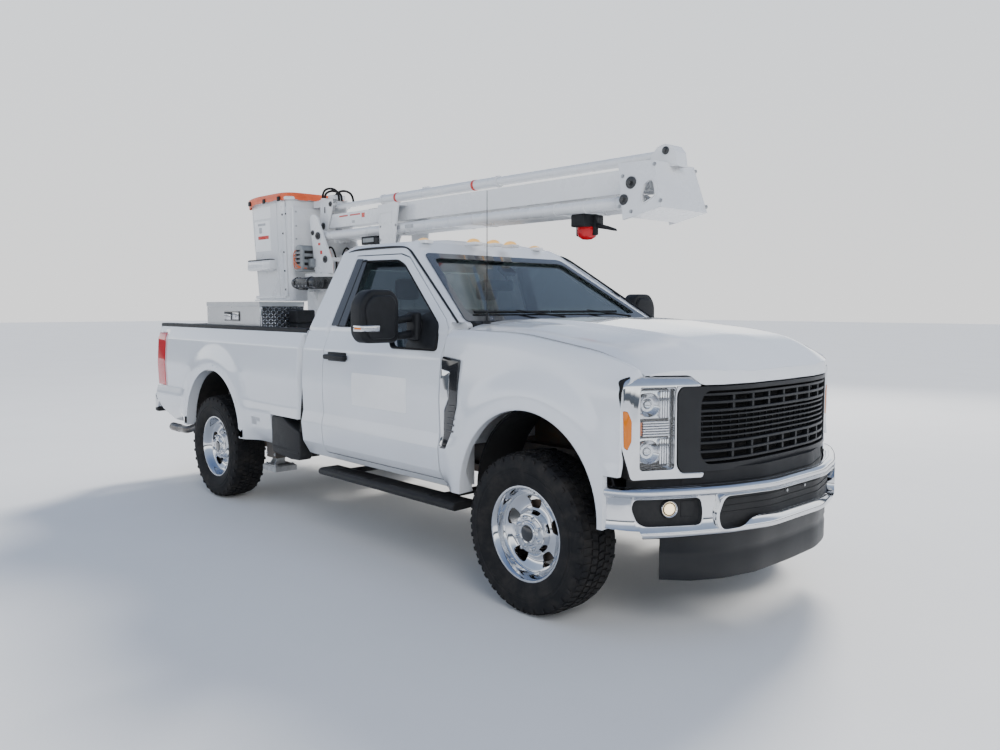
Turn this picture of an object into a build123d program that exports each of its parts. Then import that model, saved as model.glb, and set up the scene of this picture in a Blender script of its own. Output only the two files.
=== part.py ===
"""A pickup truck with a telescopic bucket lift on a pedestal in its bed.

Lengths are in millimetres. X runs forward, Y to the left and Z up from the ground.
Stations along X are counted from the rear axle, and save() moves every piece so that
the middle of the truck's length is at X = 0.
"""
import os
from math import cos, radians, sin

from build123d import *

# Overall sizes
FRONT_X = 4567
REAR_X = -1321
MIDDLE_X = (FRONT_X + REAR_X) / 2
WHEELBASE = 3597
AXLE_Z = 415

# Wheels and tyres
TYRE_R = 415
TYRE_HALF_WIDTH = 137
RIM_R = 228
FLANGE_R = 245
RIM_HALF_WIDTH = 112
FRONT_TRACK = 1735
REAR_TRACK = 1707
KINGPIN_Y = 715
STEERING_HUB = (2480, 1300)
STEERING_TILT = 28

# Body
SILL_Z = 545
BELT_Z = 1395
ROOF_Z = 2004
BED_REAR_X = -1140
BED_FRONT_X = 1425
BED_FLOOR_Z = 850
BED_INNER_Y = 850
CAB_REAR_X = 1443
DOOR_REAR_X = 1700
DOOR_FRONT_X = 2932
FENDER_REAR_X = 2938
FENDER_FRONT_X = 4205
CAB_FLOOR_Z = 800
GAP = 6
DOOR_WALL = 105
END_WALL = 60
ROOF_WALL = 45
SKIN = 24
ARCH_R = 485
ARCH_Z = 560
FRONT_ARCH_X = 3612
REAR_ARCH_X = 30
GLASS_GAP = 0.4
PLATE_HOLE_Z = 745
PLATE_HOLE_Y = 88.9

# Lift: pivots are (X, Z) pairs in the plane of the boom
SLEW_X = 270
PEDESTAL_HALF = 160
PEDESTAL_TOP_Z = 1700
SLEW_TOP_Z = 1800
TURRET_BASE_Z = 1828
ARM_PIVOT = (302, 2144)
LINK_OFFSET = (-85, 30)
ARM_LENGTH = 3285
BOOM_PIVOT = (3629, 2233)
LEVEL_OFFSET = (118, 176)
BOOM_LENGTH = 3379
TOOLBOX_TOP_Z = 1590
CYLINDER_FOOT = (412, 1945)
CYLINDER_EYE = (1102, 2054)
ROTATOR = (100, 160)
BUCKET_BOTTOM_Z = 1605
TURRET_PLATE_Y = (145, 161)
ARM_TUBE_Y = 100
ARM_TUBE_R = 35
BOOM_Z = (2200, 2335)
BOOM_HALF_WIDTH = 75
BOOM_WALL = 6
LEVEL_TUBE_Z = 2393
LEVEL_TUBE_R = (35, 30, 22)
BUCKET_X = (-315, -340)
BUCKET_TOP_Z = 2490


def box(x, y, z):
    """A block between two corners, each side given as a pair of its ends."""
    size = Box(abs(x[1] - x[0]), abs(y[1] - y[0]), abs(z[1] - z[0]))
    return Pos((x[0] + x[1]) / 2, (y[0] + y[1]) / 2, (z[0] + z[1]) / 2) * size


def bar(start, end, radius):
    """A round bar between two points."""
    run = Vector(*end) - Vector(*start)
    return extrude(Plane(origin=start, z_dir=run) * Circle(radius), run.length)


def tube(start, end, radius, wall):
    """A round tube between two points."""
    run = Vector(*end) - Vector(*start)
    ring = Circle(radius) - Circle(radius - wall)
    return extrude(Plane(origin=start, z_dir=run) * ring, run.length)


def cross_pin(centre, radius, near, far):
    """A round pin across the truck at an (x, z) centre, or two stubs of it when near is not 0."""
    x, z = centre
    if near == 0:
        return bar((x, -far, z), (x, far, z), radius)
    return both_sides(bar((x, near, z), (x, far, z), radius))


def outline(points, radius=0, gap=0):
    """A flat face round the points, its corners rounded and its edge moved in where asked."""
    face = make_face(Polyline(*points, close=True))
    face = fillet(face.vertices(), radius) if radius else face
    return offset(face, -gap) if gap else face


def side_plate(points, y, radius=0, gap=0):
    """An outline in X and Z carried across from y[0] to y[1]."""
    plane = Plane(origin=(0, y[1], 0), x_dir=(1, 0, 0), z_dir=(0, -1, 0))
    return extrude(plane * outline(points, radius, gap), y[1] - y[0])


def cross_plate(points, x, radius=0):
    """An outline in Y and Z carried along from x[0] to x[1]."""
    plane = Plane(origin=(x[0], 0, 0), x_dir=(0, 1, 0), z_dir=(1, 0, 0))
    return extrude(plane * outline(points, radius), x[1] - x[0])


def plan_plate(points, z, radius=0):
    """An outline in X and Y carried up from z[0] to z[1]."""
    return extrude(Plane.XY.offset(z[0]) * outline(points, radius), z[1] - z[0])


def both_sides(shape):
    """The shape and its mirror image across the truck."""
    return shape + mirror(shape, Plane.XZ)


def half_to_full(points):
    """A right half outline of (y, z) pairs completed by its mirror image."""
    return points + [(-y, z) for y, z in reversed(points)]


def save(name, shape):
    """Write one piece, moved to the truck's own origin."""
    export_step(Pos(-MIDDLE_X, 0, 0) * shape, f"parts/{name}.step")


# Body sections: half outlines of (y, z) pairs, from the sill up
def lower_half(inset):
    """The lower body's side, from sill to belt, moved inwards by inset."""
    return [(932 - inset, SILL_Z), (988 - inset, 640), (1000 - inset, 770), (982 - inset, 850),
            (990 - inset, 1050), (975 - inset, 1270), (925 - inset, BELT_Z)]


def upper_half(inset):
    """The cab's side above the belt, up to the crown of its roof."""
    drop = min(inset, ROOF_WALL)
    return [(922 - inset, BELT_Z + 20), (715 - inset, 1925 - drop / 2), (650 - inset, 1968 - drop),
            (300, ROOF_Z - 6 - drop)]


def body_block(x, inset=0):
    """The lower body as one block."""
    return cross_plate(half_to_full(lower_half(inset)), x, 12)


def cab_block(inset, ends):
    """The cab as one block: sides and roof moved in by inset, front and back by ends."""
    section = half_to_full(lower_half(inset) + upper_half(inset))
    block = cross_plate(section, (CAB_REAR_X - 300, 3300), 12)
    rake = [(CAB_REAR_X + ends, 400), (CAB_REAR_X + ends, BELT_Z), (1562 + ends, 1920), (1610 + ends, 1975),
            (1700 + ends, 2100), (2080 - ends, 2100), (2190 - ends, 1972), (2322 - ends, 1895),
            (3000 - ends, 1455), (2990 - ends, 1400), (2990 - ends, 400)]
    return block & side_plate(rake, (-1100, 1100), 20)


def door_outline(gap):
    """The door's edge in X and Z, moved inwards by gap."""
    return [(DOOR_REAR_X + gap, 585 + gap), (DOOR_FRONT_X - gap, 585 + gap),
            (DOOR_FRONT_X - gap, 1430), (2880 - gap, 1488), (2350 - gap, 1862 - gap),
            (2250 - gap, 1888 - gap), (1745 + gap, 1895 - gap), (DOOR_REAR_X + gap, 1440)]


# Openings for glass: the side window in X and Z, the others in Y and Z
WINDOW = [(1770, 1425), (1795, 1855), (2230, 1848), (2320, 1815), (2825, 1460), (2872, 1310), (2440, 1310),
          (2350, 1425)]
WINDSCREEN = [(-810, 1478), (810, 1478), (605, 1880), (-605, 1880)]
REAR_WINDOW = [(-620, 1480), (620, 1480), (540, 1810), (-540, 1810)]


def cab_parts():
    """Cab shell, doors and glass."""
    shell = cab_block(0, 0) - cab_block(DOOR_WALL, END_WALL)
    shell = shell - box((1400, 3000), (-780, 780), (400, CAB_FLOOR_Z))
    shell = shell + box((CAB_REAR_X + 2, 2980), (-830, 830), (CAB_FLOOR_Z - 25, CAB_FLOOR_Z))
    shell = shell - both_sides(box((FENDER_REAR_X - 3, 3100), (835, 1100), (400, 1470)))
    openings = side_plate(door_outline(0), (-1100, -400)) + side_plate(door_outline(0), (400, 1100))
    screen_hole = cross_plate(WINDSCREEN, (2000, 3100), 30)
    back_hole = cross_plate(REAR_WINDOW, (1400, 1800), 30)
    shell = shell - openings - screen_hole - back_hole
    save("cab_shell", shell)
    side_glass_zone = side_plate(WINDOW, (-1100, 1100), 20)
    wall = (cab_block(0, 0) - cab_block(DOOR_WALL, -200)) & side_plate(door_outline(GAP), (-1100, 1100))
    pane = cross_plate([(962, 1290), (956, 1290), (709, 1925), (715, 1925)], (1600, 3000))
    panes = both_sides(Pos(0, -45, 0) * pane) & side_plate(WINDOW, (-1100, 1100), 20, GLASS_GAP)
    for name, y in (("right", (-1100, -400)), ("left", (400, 1100))):
        side = box((1000, 3500), y, (400, 2200))
        save(f"door_{name}", (wall & side) - side_glass_zone)
        save(f"door_glass_{name}", panes & side)
    glass = cab_block(0, 20) - cab_block(-10, 26)
    save("cab_glass", glass & (screen_hole + back_hole) & box((1400, 3100), (-1000, 1000), (1400, 2000)))


def wheel_arch(x, y):
    """The round space that a wheel arch leaves."""
    return bar((x, y[0], ARCH_Z), (x, y[1], ARCH_Z), ARCH_R) + box(
        (x - ARCH_R, x + ARCH_R), y, (300, ARCH_Z))


def arch_lip(x):
    """The raised lip round a left wheel arch."""
    inner, outer = (x, 975, ARCH_Z), (x, 1014, ARCH_Z)
    ring = bar(inner, outer, ARCH_R + 45) - bar(inner, outer, ARCH_R)
    return ring & box((x - 600, x + 600), (975, 1014), (ARCH_Z, 1200))


# Nose sections: station, then half outline points at shoulder, edge, ridge and crown as (y, z)
NOSE = [
    (2900, (940, 1392), (868, 1446), (600, 1484), (0, 1496)),
    (3480, (944, 1376), (884, 1434), (590, 1470), (0, 1480)),
    (4040, (944, 1290), (884, 1350), (560, 1416), (0, 1428)),
    (4290, (920, 1190), (850, 1250), (520, 1368), (0, 1390)),
    (4400, (900, 1120), (800, 1190), (500, 1300), (0, 1330)),
    (4500, (880, 1080), (760, 1150), (480, 1190), (0, 1200)),
]
# Plan of the nose: how far forward its face reaches at each distance from the middle
FACE = [(4470, 0), (4462, 300), (4425, 500), (4335, 700), (4250, 860), (4205, 985)]


def face_plate(back, inset, z, reach=1100):
    """The plan of the nose from X = back to its curved face less inset, between two heights."""
    curve = [(x - inset, y) for x, y in FACE if y <= reach]
    right = [(x, -y) for x, y in reversed(curve[1:])]
    edge = min(reach, FACE[-1][1] + 30)
    side = curve[-1][0]
    return plan_plate([(back, -edge), (side, -edge)] + right + curve + [(side, edge), (back, edge)], z)


def nose_block(inset, reach=0):
    """The wings and bonnet as one tapering block, reaching past its ends."""
    sections = []
    for x, shoulder, edge, ridge, crown in NOSE:
        x = x - reach if x == NOSE[0][0] else x + reach if x == NOSE[-1][0] else x
        half = [(y - inset, z) for y, z in lower_half(0)[:5]]
        half += [(shoulder[0] - inset, shoulder[1] - inset / 2), (edge[0] - inset, edge[1] - inset)]
        half += [(ridge[0], ridge[1] - inset), (120, crown[1] - inset)]
        plane = Plane(origin=(x, 0, 0), x_dir=(0, 1, 0), z_dir=(1, 0, 0))
        sections.append(plane * outline(half_to_full(half)))
    return loft(sections, ruled=True)


def front_body():
    """Front wings, bonnet and the panels behind the grille and under the bumper."""
    skin = nose_block(0) - nose_block(SKIN, 40)
    wing = skin & box((FENDER_REAR_X, FENDER_FRONT_X), (870, 1100), (500, 1500))
    wing = wing - wheel_arch(FRONT_ARCH_X, (600, 1100)) + arch_lip(FRONT_ARCH_X)
    save("wings", both_sides(wing - box((4100, 4300), (700, 1100), (500, 797))))
    lid = nose_block(0) & face_plate(3040, 0, (1100, 1520), 864)
    front_edge = face_plate(4100, 0, (1215, 1500), 864) - face_plate(4000, SKIN, (1000, 1600), 864)
    lid = lid - nose_block(SKIN, 40) + (lid & front_edge)
    save("bonnet", lid - box((3000, 4600), (-1000, 1000), (1100, 1215)))
    carrier = box((4110, 4160), (-760, 760), (640, 1200)) - box((4100, 4300), (-350, 350), (760, 1150))
    radiator = box((4060, 4111), (-340, 340), (795, 1145))
    carrier = carrier - box((4100, 4300), (-460, 460), (500, 790)) + radiator
    scuttle = box((3004, 3034), (-832, 832), (1400, 1436))
    rim = [(4500, 0), (4490, 300), (4440, 500), (4360, 640), (4250, 740)]
    back = [(4240, 715), (4345, 620), (4418, 480), (4464, 285), (4474, 0)]
    half = rim + back
    dam = plan_plate(half + [(x, -y) for x, y in reversed(half) if y], (285, 499))
    liner = bar((FRONT_ARCH_X, 560, ARCH_Z), (FRONT_ARCH_X, 868, ARCH_Z), ARCH_R + 15)
    liner = liner - bar((FRONT_ARCH_X, 500, ARCH_Z), (FRONT_ARCH_X, 900, ARCH_Z), ARCH_R + 3)
    liner = liner & box((3000, 4108), (500, 900), (ARCH_Z, 1100))
    save("front_panels", carrier + scuttle + dam + both_sides(liner))


# Plan of the front bumper: how far forward it reaches at each distance from the middle
BUMPER = [(FRONT_X, 0), (FRONT_X, 250), (4490, 520), (4390, 730), (4290, 900), (4200, 985), (4120, 1005)]


def bumper_plate(inset, z):
    """The front bumper's plan from its back edge to its curved face less inset."""
    curve = [(x - inset, y - inset * 0.6 * (y > 250)) for x, y in BUMPER]
    right = [(x, -y) for x, y in reversed(curve[1:])]
    return plan_plate(right + curve, z)


def front_trim():
    """Save the grille and headlamps, and return the front bumper."""
    frame = face_plate(4290, 0, (800, 1205), 640) - box((4200, 4600), (-590, 590), (828, 1178))
    for z in (916, 1003, 1090):
        slat = face_plate(4290, 8, (z - 14, z + 14), 640) - face_plate(4200, 30, (z - 20, z + 20), 604)
        frame = frame + slat
    save("grille", frame)
    lamp = face_plate(4150, 0, (795, 1205)) - face_plate(4100, 60, (700, 1300), 900)
    lamp = lamp & box((4211, 4500), (652, 985), (700, 1300))
    save("headlamps", both_sides(lamp))
    front = bumper_plate(0, (505, 790)) - bumper_plate(30, (400, 770))
    front = front - box((4000, 4165), (-900, 900), (400, 900))
    front = front - box((4300, 4700), (-480, 480), (585, 700))
    front = front - both_sides(box((4200, 4500), (600, 895), (560, 685)))
    front = front - box((4400, 4600), (-460, 460), (400, 540))
    backing = bumper_plate(28, (550, 715)) - bumper_plate(40, (400, 800))
    front = front + (backing & box((4170, 4700), (-1100, 1100), (500, 800)))
    plate_hole = bar((4400, PLATE_HOLE_Y, PLATE_HOLE_Z), (4700, PLATE_HOLE_Y, PLATE_HOLE_Z), 3.5)
    return front - both_sides(plate_hole)


def bed_parts():
    """Load bed: floor with wheel boxes, sides and tailgate."""
    inside = (-BED_INNER_Y, BED_INNER_Y)
    floor = box((BED_REAR_X + 40, BED_FRONT_X), inside, (BED_FLOOR_Z - 30, BED_FLOOR_Z))
    wall = box((BED_FRONT_X - 50, BED_FRONT_X), inside, (BED_FLOOR_Z, 1385))
    floor = floor + wall
    for side in (-1, 1):
        low, high = sorted((side * 642, side * 849))
        inner_low, inner_high = sorted((side * 662, side * 900))
        floor = floor - box((-470, 530), (inner_low, inner_high), (780, 1035))
        cover = box((-490, 550), (low, high), (BED_FLOOR_Z - 30, 1060)) - box(
            (-470, 530), (inner_low, inner_high), (780, 1040))
        floor = floor + cover
    save("bed_floor", floor)
    outer = body_block((BED_REAR_X, BED_FRONT_X))
    panel = outer & box((-1300, 1500), (BED_INNER_Y + 1, 1100), (500, 1500))
    panel = panel - wheel_arch(REAR_ARCH_X, (600, 1100)) + arch_lip(REAR_ARCH_X)
    panel = panel - box((BED_REAR_X - 5, BED_REAR_X + 60), (700, 1100), (845, 1325))
    panel = panel - side_plate([(BED_REAR_X - 50, 500), (-820, 500), (BED_REAR_X - 50, 760)], (700, 1100))
    save("bed_sides", both_sides(panel - box((1003, 1430), (800, 1100), (500, 777))))
    save("tail_lamps", both_sides(box((BED_REAR_X - 2, BED_REAR_X + 58), (862, 968), (850, 1320))))
    save("tailgate", box((BED_REAR_X - 2, BED_REAR_X + 34), (-843, 843), (BED_FLOOR_Z - 20, BELT_Z - 5)))


def exhaust():
    """Silencer and tailpipe on the right side."""
    route = FilletPolyline((905, -560, 610), (700, -640, 655), (0, -640, 660), (-450, -640, 600),
                           (-640, -930, 475), (-950, -930, 475), radius=60)
    ring = Circle(32)
    pipe = sweep(Plane(origin=route @ 0, z_dir=route % 0) * ring, route)
    return pipe + bar((900, -560, 605), (1500, -560, 605), 95)


def chassis():
    """Frame, drive line, tank, exhaust and springs."""
    rail = box((-1150, 4330), (370, 440), (560, 760)) - box((-1140, 4320), (378, 450), (568, 752))
    rails = both_sides(rail)
    for x in (-1050, -500, 420, 1500, 4040):
        rails = rails + box((x, x + 90), (-375, 375), (600, 720))
    rails = rails + both_sides(box((3540, 3660), (440, 560), (740, 760)))
    hitch = box((-1230, -1045), (-45, 45), (470, 601)) - box((-1300, -1080), (-25.5, 25.5), (489.5, 540.5))
    hitch = hitch - bar((-1190, -60, 515), (-1190, 60, 515), 8)
    save("frame_rails", rails + hitch)
    engine = box((3000, 3850), (-300, 300), (620, 1250)) + box((2500, 3001), (-150, 150), (520, 765))
    engine = engine + box((2100, 2501), (-170, 170), (440, 700)) + bar((175, 0, 415), (2101, 0, 500), 38)
    save("engine_block", engine)
    save("fuel_tank", box((850, 1750), (460, 760), (520, 745)))
    save("exhaust", exhaust())
    rear = bar((0, -740, AXLE_Z), (0, 740, AXLE_Z), 55) + Pos(0, 0, AXLE_Z) * Sphere(165)
    front = bar((WHEELBASE, -640, AXLE_Z), (WHEELBASE, 640, AXLE_Z), 48)
    front = front + Pos(WHEELBASE, 250, AXLE_Z) * Sphere(140)
    leaf = side_plate([(-610, 552), (0, 485), (610, 552), (610, 530), (0, 460), (-610, 530)], (490, 565))
    coil = tube((WHEELBASE, 520, 465), (WHEELBASE, 520, 738), 65, 15)
    springs = both_sides(leaf - bar((0, 400, AXLE_Z), (0, 600, AXLE_Z), 56)) + both_sides(coil)
    save("axles", rear + front + springs)
    half = [(REAR_X, 700), (-1300, 880), (-1215, 990), (-1160, 990)]
    step = plan_plate(half + [(x, -y) for x, y in reversed(half)], (602, 770))
    step = step - box((-1275, -1100), (-860, 860), (500, 740)) - box((-1205, -1100), (-970, 970), (500, 740))
    save("bumpers", step - box((-1400, -1240), (-60, 60), (500, 640)) + front_trim())


def cab_inside():
    """Seat, dashboard with steering column, and steering wheel."""
    cushion = box((1900, 2330), (-700, 700), (960, 1090)) + box((1760, 1901), (-700, 700), (960, 1560))
    base = box((1800, 2300), (-650, 650), (801, 961))
    save("seat", cushion + base + both_sides(box((1775, 1865), (240, 480), (1559, 1760))))
    dash = side_plate([(2660, 1150), (2925, 1150), (2925, 1420), (2760, 1440), (2620, 1330)], (-770, 770))
    x, z = STEERING_HUB
    dx, dz = cos(radians(STEERING_TILT)), -sin(radians(STEERING_TILT))
    column = bar((x + 22 * dx, 400, z + 22 * dz), (x + 260 * dx, 400, z + 260 * dz), 32)
    save("dashboard", dash + column)
    ring = Torus(190, 15) + Cylinder(60, 30)
    for turn in (90, 210, 330):
        ring = ring + Rot(0, 0, turn) * bar((0, 0, 0), (188, 0, 0), 13)
    save("steering_wheel", Pos(x, 400, z) * Rot(0, STEERING_TILT - 90, 0) * ring)


def side_trim():
    """Door mirrors, running boards and bed steps."""
    for name, side in (("right", -1), ("left", 1)):
        head = box((2565, 2690), (side * 1060, side * 1330), (1348, 1652))
        arm = bar((2640, side * 978, 1400), (2640, side * 1061, 1400), 20)
        save(f"mirror_{name}", head + arm)
    board = box((1646, 3063), (830, 1000), (430, 480)) + box((1760, 1820), (441, 831), (440, 470))
    board = board + box((2760, 2820), (441, 831), (440, 470))
    step = box((1006, 1419), (900, 996), (480, 774)) + box((1180, 1240), (441, 901), (748, 760))
    save("running_boards", both_sides(board) + both_sides(step))


def wheel(x, y, side):
    """A wheel rim with its disc, centred at (x, y), with its face towards side."""
    barrel = [(RIM_R - 12, -RIM_HALF_WIDTH), (FLANGE_R, -RIM_HALF_WIDTH), (FLANGE_R, -RIM_HALF_WIDTH + 10),
              (RIM_R, -RIM_HALF_WIDTH + 14), (RIM_R, RIM_HALF_WIDTH - 14), (FLANGE_R, RIM_HALF_WIDTH - 10),
              (FLANGE_R, RIM_HALF_WIDTH), (RIM_R - 12, RIM_HALF_WIDTH)]
    rim = revolve(outline(barrel), Axis.Y)
    disc = [(0, 20), (RIM_R - 11, 20), (RIM_R - 11, 34), (110, 34), (80, 75), (0, 75)]
    plate = revolve(outline(disc), Axis.Y)
    for turn in range(5):
        angle = radians(72 * turn + 90)
        hole = bar((160 * cos(angle), 0, 160 * sin(angle)), (160 * cos(angle), 60, 160 * sin(angle)), 38)
        plate = plate - hole
    return Pos(x, y, AXLE_Z) * Rot(0, 0, 0 if side > 0 else 180) * (rim + plate)


def tyre(x, y):
    """A tyre, centred at (x, y)."""
    half = [(RIM_R + 1, 90), (252, 100), (290, TYRE_HALF_WIDTH), (370, TYRE_HALF_WIDTH), (TYRE_R, 110)]
    section = half + [(r, -width) for r, width in reversed(half)]
    return Pos(x, y, AXLE_Z) * revolve(outline(section), Axis.Y)


def wheels():
    """Four wheels with tyres and the two front knuckles."""
    places = [("front", WHEELBASE, FRONT_TRACK / 2), ("rear", 0, REAR_TRACK / 2)]
    for end, x, half_track in places:
        for name, side in (("right", -1), ("left", 1)):
            save(f"wheel_{end}_{name}", wheel(x, side * half_track, side))
            save(f"tyre_{end}_{name}", tyre(x, side * half_track))
    for name, side in (("right", -1), ("left", 1)):
        post = bar((WHEELBASE, side * KINGPIN_Y, 300), (WHEELBASE, side * KINGPIN_Y, 530), 32)
        hub = bar((WHEELBASE, side * KINGPIN_Y, AXLE_Z), (WHEELBASE, side * 860, AXLE_Z), 70)
        save(f"knuckle_{name}", post + hub)


def lift_base():
    """Pedestal, stabiliser legs, slewing drive and toolbox."""
    half = PEDESTAL_HALF
    post = box((SLEW_X - half, SLEW_X + half), (-half, half), (BED_FLOOR_Z + 1, PEDESTAL_TOP_Z - 12))
    top = bar((SLEW_X, 0, PEDESTAL_TOP_Z - 13), (SLEW_X, 0, PEDESTAL_TOP_Z), 215)
    foot = box((SLEW_X - 330, SLEW_X + 330), (-330, 330), (BED_FLOOR_Z + 1, BED_FLOOR_Z + 26))
    save("pedestal", post + top + foot)
    ring = bar((SLEW_X, 0, PEDESTAL_TOP_Z + 3), (SLEW_X, 0, SLEW_TOP_Z), 240)
    worm = bar((172, -305, 1748), (520, -305, 1748), 43) + box((190, 420), (-310, -150), (1707, 1789))
    save("slew_drive", ring + worm)
    cross = box((640, 760), (-800, 800), (500, 558))
    guides = both_sides(box((630, 770), (700, 840), (400, 620)))
    save("stabiliser_beam", (cross + guides) - both_sides(box((664, 736), (734, 806), (300, 700))))
    for name, side in (("right", -1), ("left", 1)):
        y = (side * 770 - 30, side * 770 + 30)
        leg = box((670, 730), y, (335, 700)) + box((600, 800), (side * 770 - 90, side * 770 + 90), (300, 340))
        save(f"stabiliser_{name}", leg)
    chest = box((-330, 600), (-860, -480), (1400, 1555)) + box((-330, 600), (-840, -480), (1066, 1401))
    chest = chest - box((-318, 588), (-828, -492), (1080, 1600))
    save("toolbox", chest)
    save("toolbox_lid", box((-334, 604), (-864, -478), (1557, TOOLBOX_TOP_Z)))
    control = box((640, 770), (-640, -480), (1330, 1525)) + box((601, 641), (-600, -520), (1380, 1450))
    save("control_box", control)


def turret():
    """Turning base with two leaning side plates, and the valve block beside them."""
    low = TURRET_BASE_Z
    side = [(250, low), (502, low), (502, 1925), (285, 2300), (250, 2325), (188, 2325), (165, 2298),
            (228, 1950)]
    plates = both_sides(side_plate(side, TURRET_PLATE_Y))
    base = bar((SLEW_X, 0, SLEW_TOP_Z), (SLEW_X, 0, low), 235)
    web = box((232, 250), (-146, 146), (low, 2100))
    link_pin = (ARM_PIVOT[0] + LINK_OFFSET[0], ARM_PIVOT[1] + LINK_OFFSET[1])
    pins = cross_pin(CYLINDER_FOOT, 20, 0, 165) + cross_pin(link_pin, 12, 0, 150)
    save("turret", base + plates + web + pins + cross_pin(ARM_PIVOT, 22, 62, 170))
    valves = box((60, 195), (-255, -130), (1850, 2075)) + box((194, 260), (-200, -161), (1880, 1960))
    save("valve_block", valves)


def knuckle_block(inset, front, rear):
    """The knuckle's splayed outline as a block, given its front and rear at the foot."""
    foot, head = 227 - inset, 181 - inset
    splay = cross_plate([(foot, 2000), (head, 2400), (-head, 2400), (-foot, 2000)], (rear, front))
    return splay & side_plate([(rear, 2000), (front, 2000), (front - 115, 2400), (rear, 2400)], (-300, 300))


def along_cylinder(share):
    """A point on the lift cylinder's axis, from 0 at its foot to 1 at its rod's eye."""
    (x0, z0), (x1, z1) = CYLINDER_FOOT, CYLINDER_EYE
    return (x0 + (x1 - x0) * share, 0, z0 + (z1 - z0) * share)


def lower_boom():
    """Lower arm, its levelling link, lift cylinder and the knuckle box."""
    x0, z0 = ARM_PIVOT
    x1 = x0 + ARM_LENGTH
    arm = both_sides(bar((x0 + 50, ARM_TUBE_Y, z0), (x1 - 50, ARM_TUBE_Y, z0), ARM_TUBE_R))
    socket_z = (z0 - 30, z0 + 30)
    for x, end in ((x0, (x0 - 30, x0 + 90)), (x1, (x1 - 90, x1 + 30))):
        arm = arm + cross_pin((x, z0), 48, 70, 130) + both_sides(box(end, (72, 128), socket_z))
    for x in (x0 + 120, 1000, 2000, 3000):
        arm = arm + box((x, x + 200), (-100, 100), (z0 - 34, z0 - 4))
    lug_z = CYLINDER_EYE[1] - 35
    lug = [(1000, z0 - 20), (1200, z0 - 20), (1140, lug_z), (1064, lug_z)]
    arm = arm + both_sides(side_plate(lug, (32, 48))) + cross_pin(CYLINDER_EYE, 20, 47, 56)
    save("lower_arm", arm - cross_pin((x0, z0), 22.5, 0, 200) - cross_pin((x1, z0), 22.5, 0, 200))
    a, b = (x0 + LINK_OFFSET[0], z0 + LINK_OFFSET[1]), (x1 + LINK_OFFSET[0], z0 + LINK_OFFSET[1])
    link = box((a[0], b[0]), (-18, 18), (a[1] - 16, a[1] + 16))
    link = link + cross_pin(a, 23, 0, 18) + cross_pin(b, 23, 0, 18)
    save("level_link", link - cross_pin(a, 12.5, 0, 50) - cross_pin(b, 12.5, 0, 50))
    barrel = tube(along_cylinder(0.06), along_cylinder(0.80), 36, 10) + cross_pin(CYLINDER_FOOT, 38, 0, 28)
    barrel = barrel + bar(along_cylinder(0.05), along_cylinder(0.12), 34)
    save("cylinder_barrel", barrel - cross_pin(CYLINDER_FOOT, 20.5, 0, 60))
    rod = bar(along_cylinder(0.2), along_cylinder(0.97), 18)
    save("cylinder_rod", rod + cross_pin(CYLINDER_EYE, 28, 0, 26))
    save_knuckle((x1, z0), b)


def save_knuckle(arm_end, link_end):
    """The box between the two booms, with the pins that carry them."""
    outer = knuckle_block(0, 3866, 3518)
    knuckle = outer - knuckle_block(14, 3852, 3300)
    knuckle = knuckle & side_plate([(3525, 2350), (3782, 2341), (3853, 2086), (3591, 2033)], (-300, 300))
    hole = [(3706, 2160), (3722, 2220), (3762, 2238), (3782, 2215), (3797, 2150), (3722, 2112)]
    knuckle = knuckle - side_plate(hole, (-300, 300), 10)
    floor = side_plate([(3640, 2043), (3853, 2086), (3850, 2100), (3640, 2057)], (-230, 230))
    roof = box((3690, 3850), (-230, 230), (2306, 2326)) - box((3600, 3724), (-84, 84), (2300, 2330))
    knuckle = knuckle + (outer & (floor + roof))
    ear = (BOOM_PIVOT[0] + LEVEL_OFFSET[0], BOOM_PIVOT[1] + LEVEL_OFFSET[1])
    hump = [(3640, 2320), (3652, 2396), (3690, 2434), (3735, 2447), (3778, 2436), (3806, 2400), (3820, 2320)]
    cover = [(3771, 2432), (3778, 2436), (3806, 2400), (3820, 2320), (3812, 2320), (3798, 2398)]
    knuckle = knuckle + both_sides(side_plate(hump, (38, 52))) + side_plate(cover, (-39, 39))
    x, z = link_end
    hanger = [(x - 24, z - 22), (3700, 2054), (3700, 2110), (x + 60, z + 20), (x - 10, z + 20)]
    knuckle = knuckle + both_sides(side_plate(hanger, (22, 34)))
    pins = [(BOOM_PIVOT, 25, 205), (arm_end, 22, 215), (link_end, 12, 36), (ear, 14, 58)]
    for centre, radius, reach in pins:
        knuckle = knuckle + cross_pin(centre, radius, 0, reach)
    save("boom_knuckle", knuckle)


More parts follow.
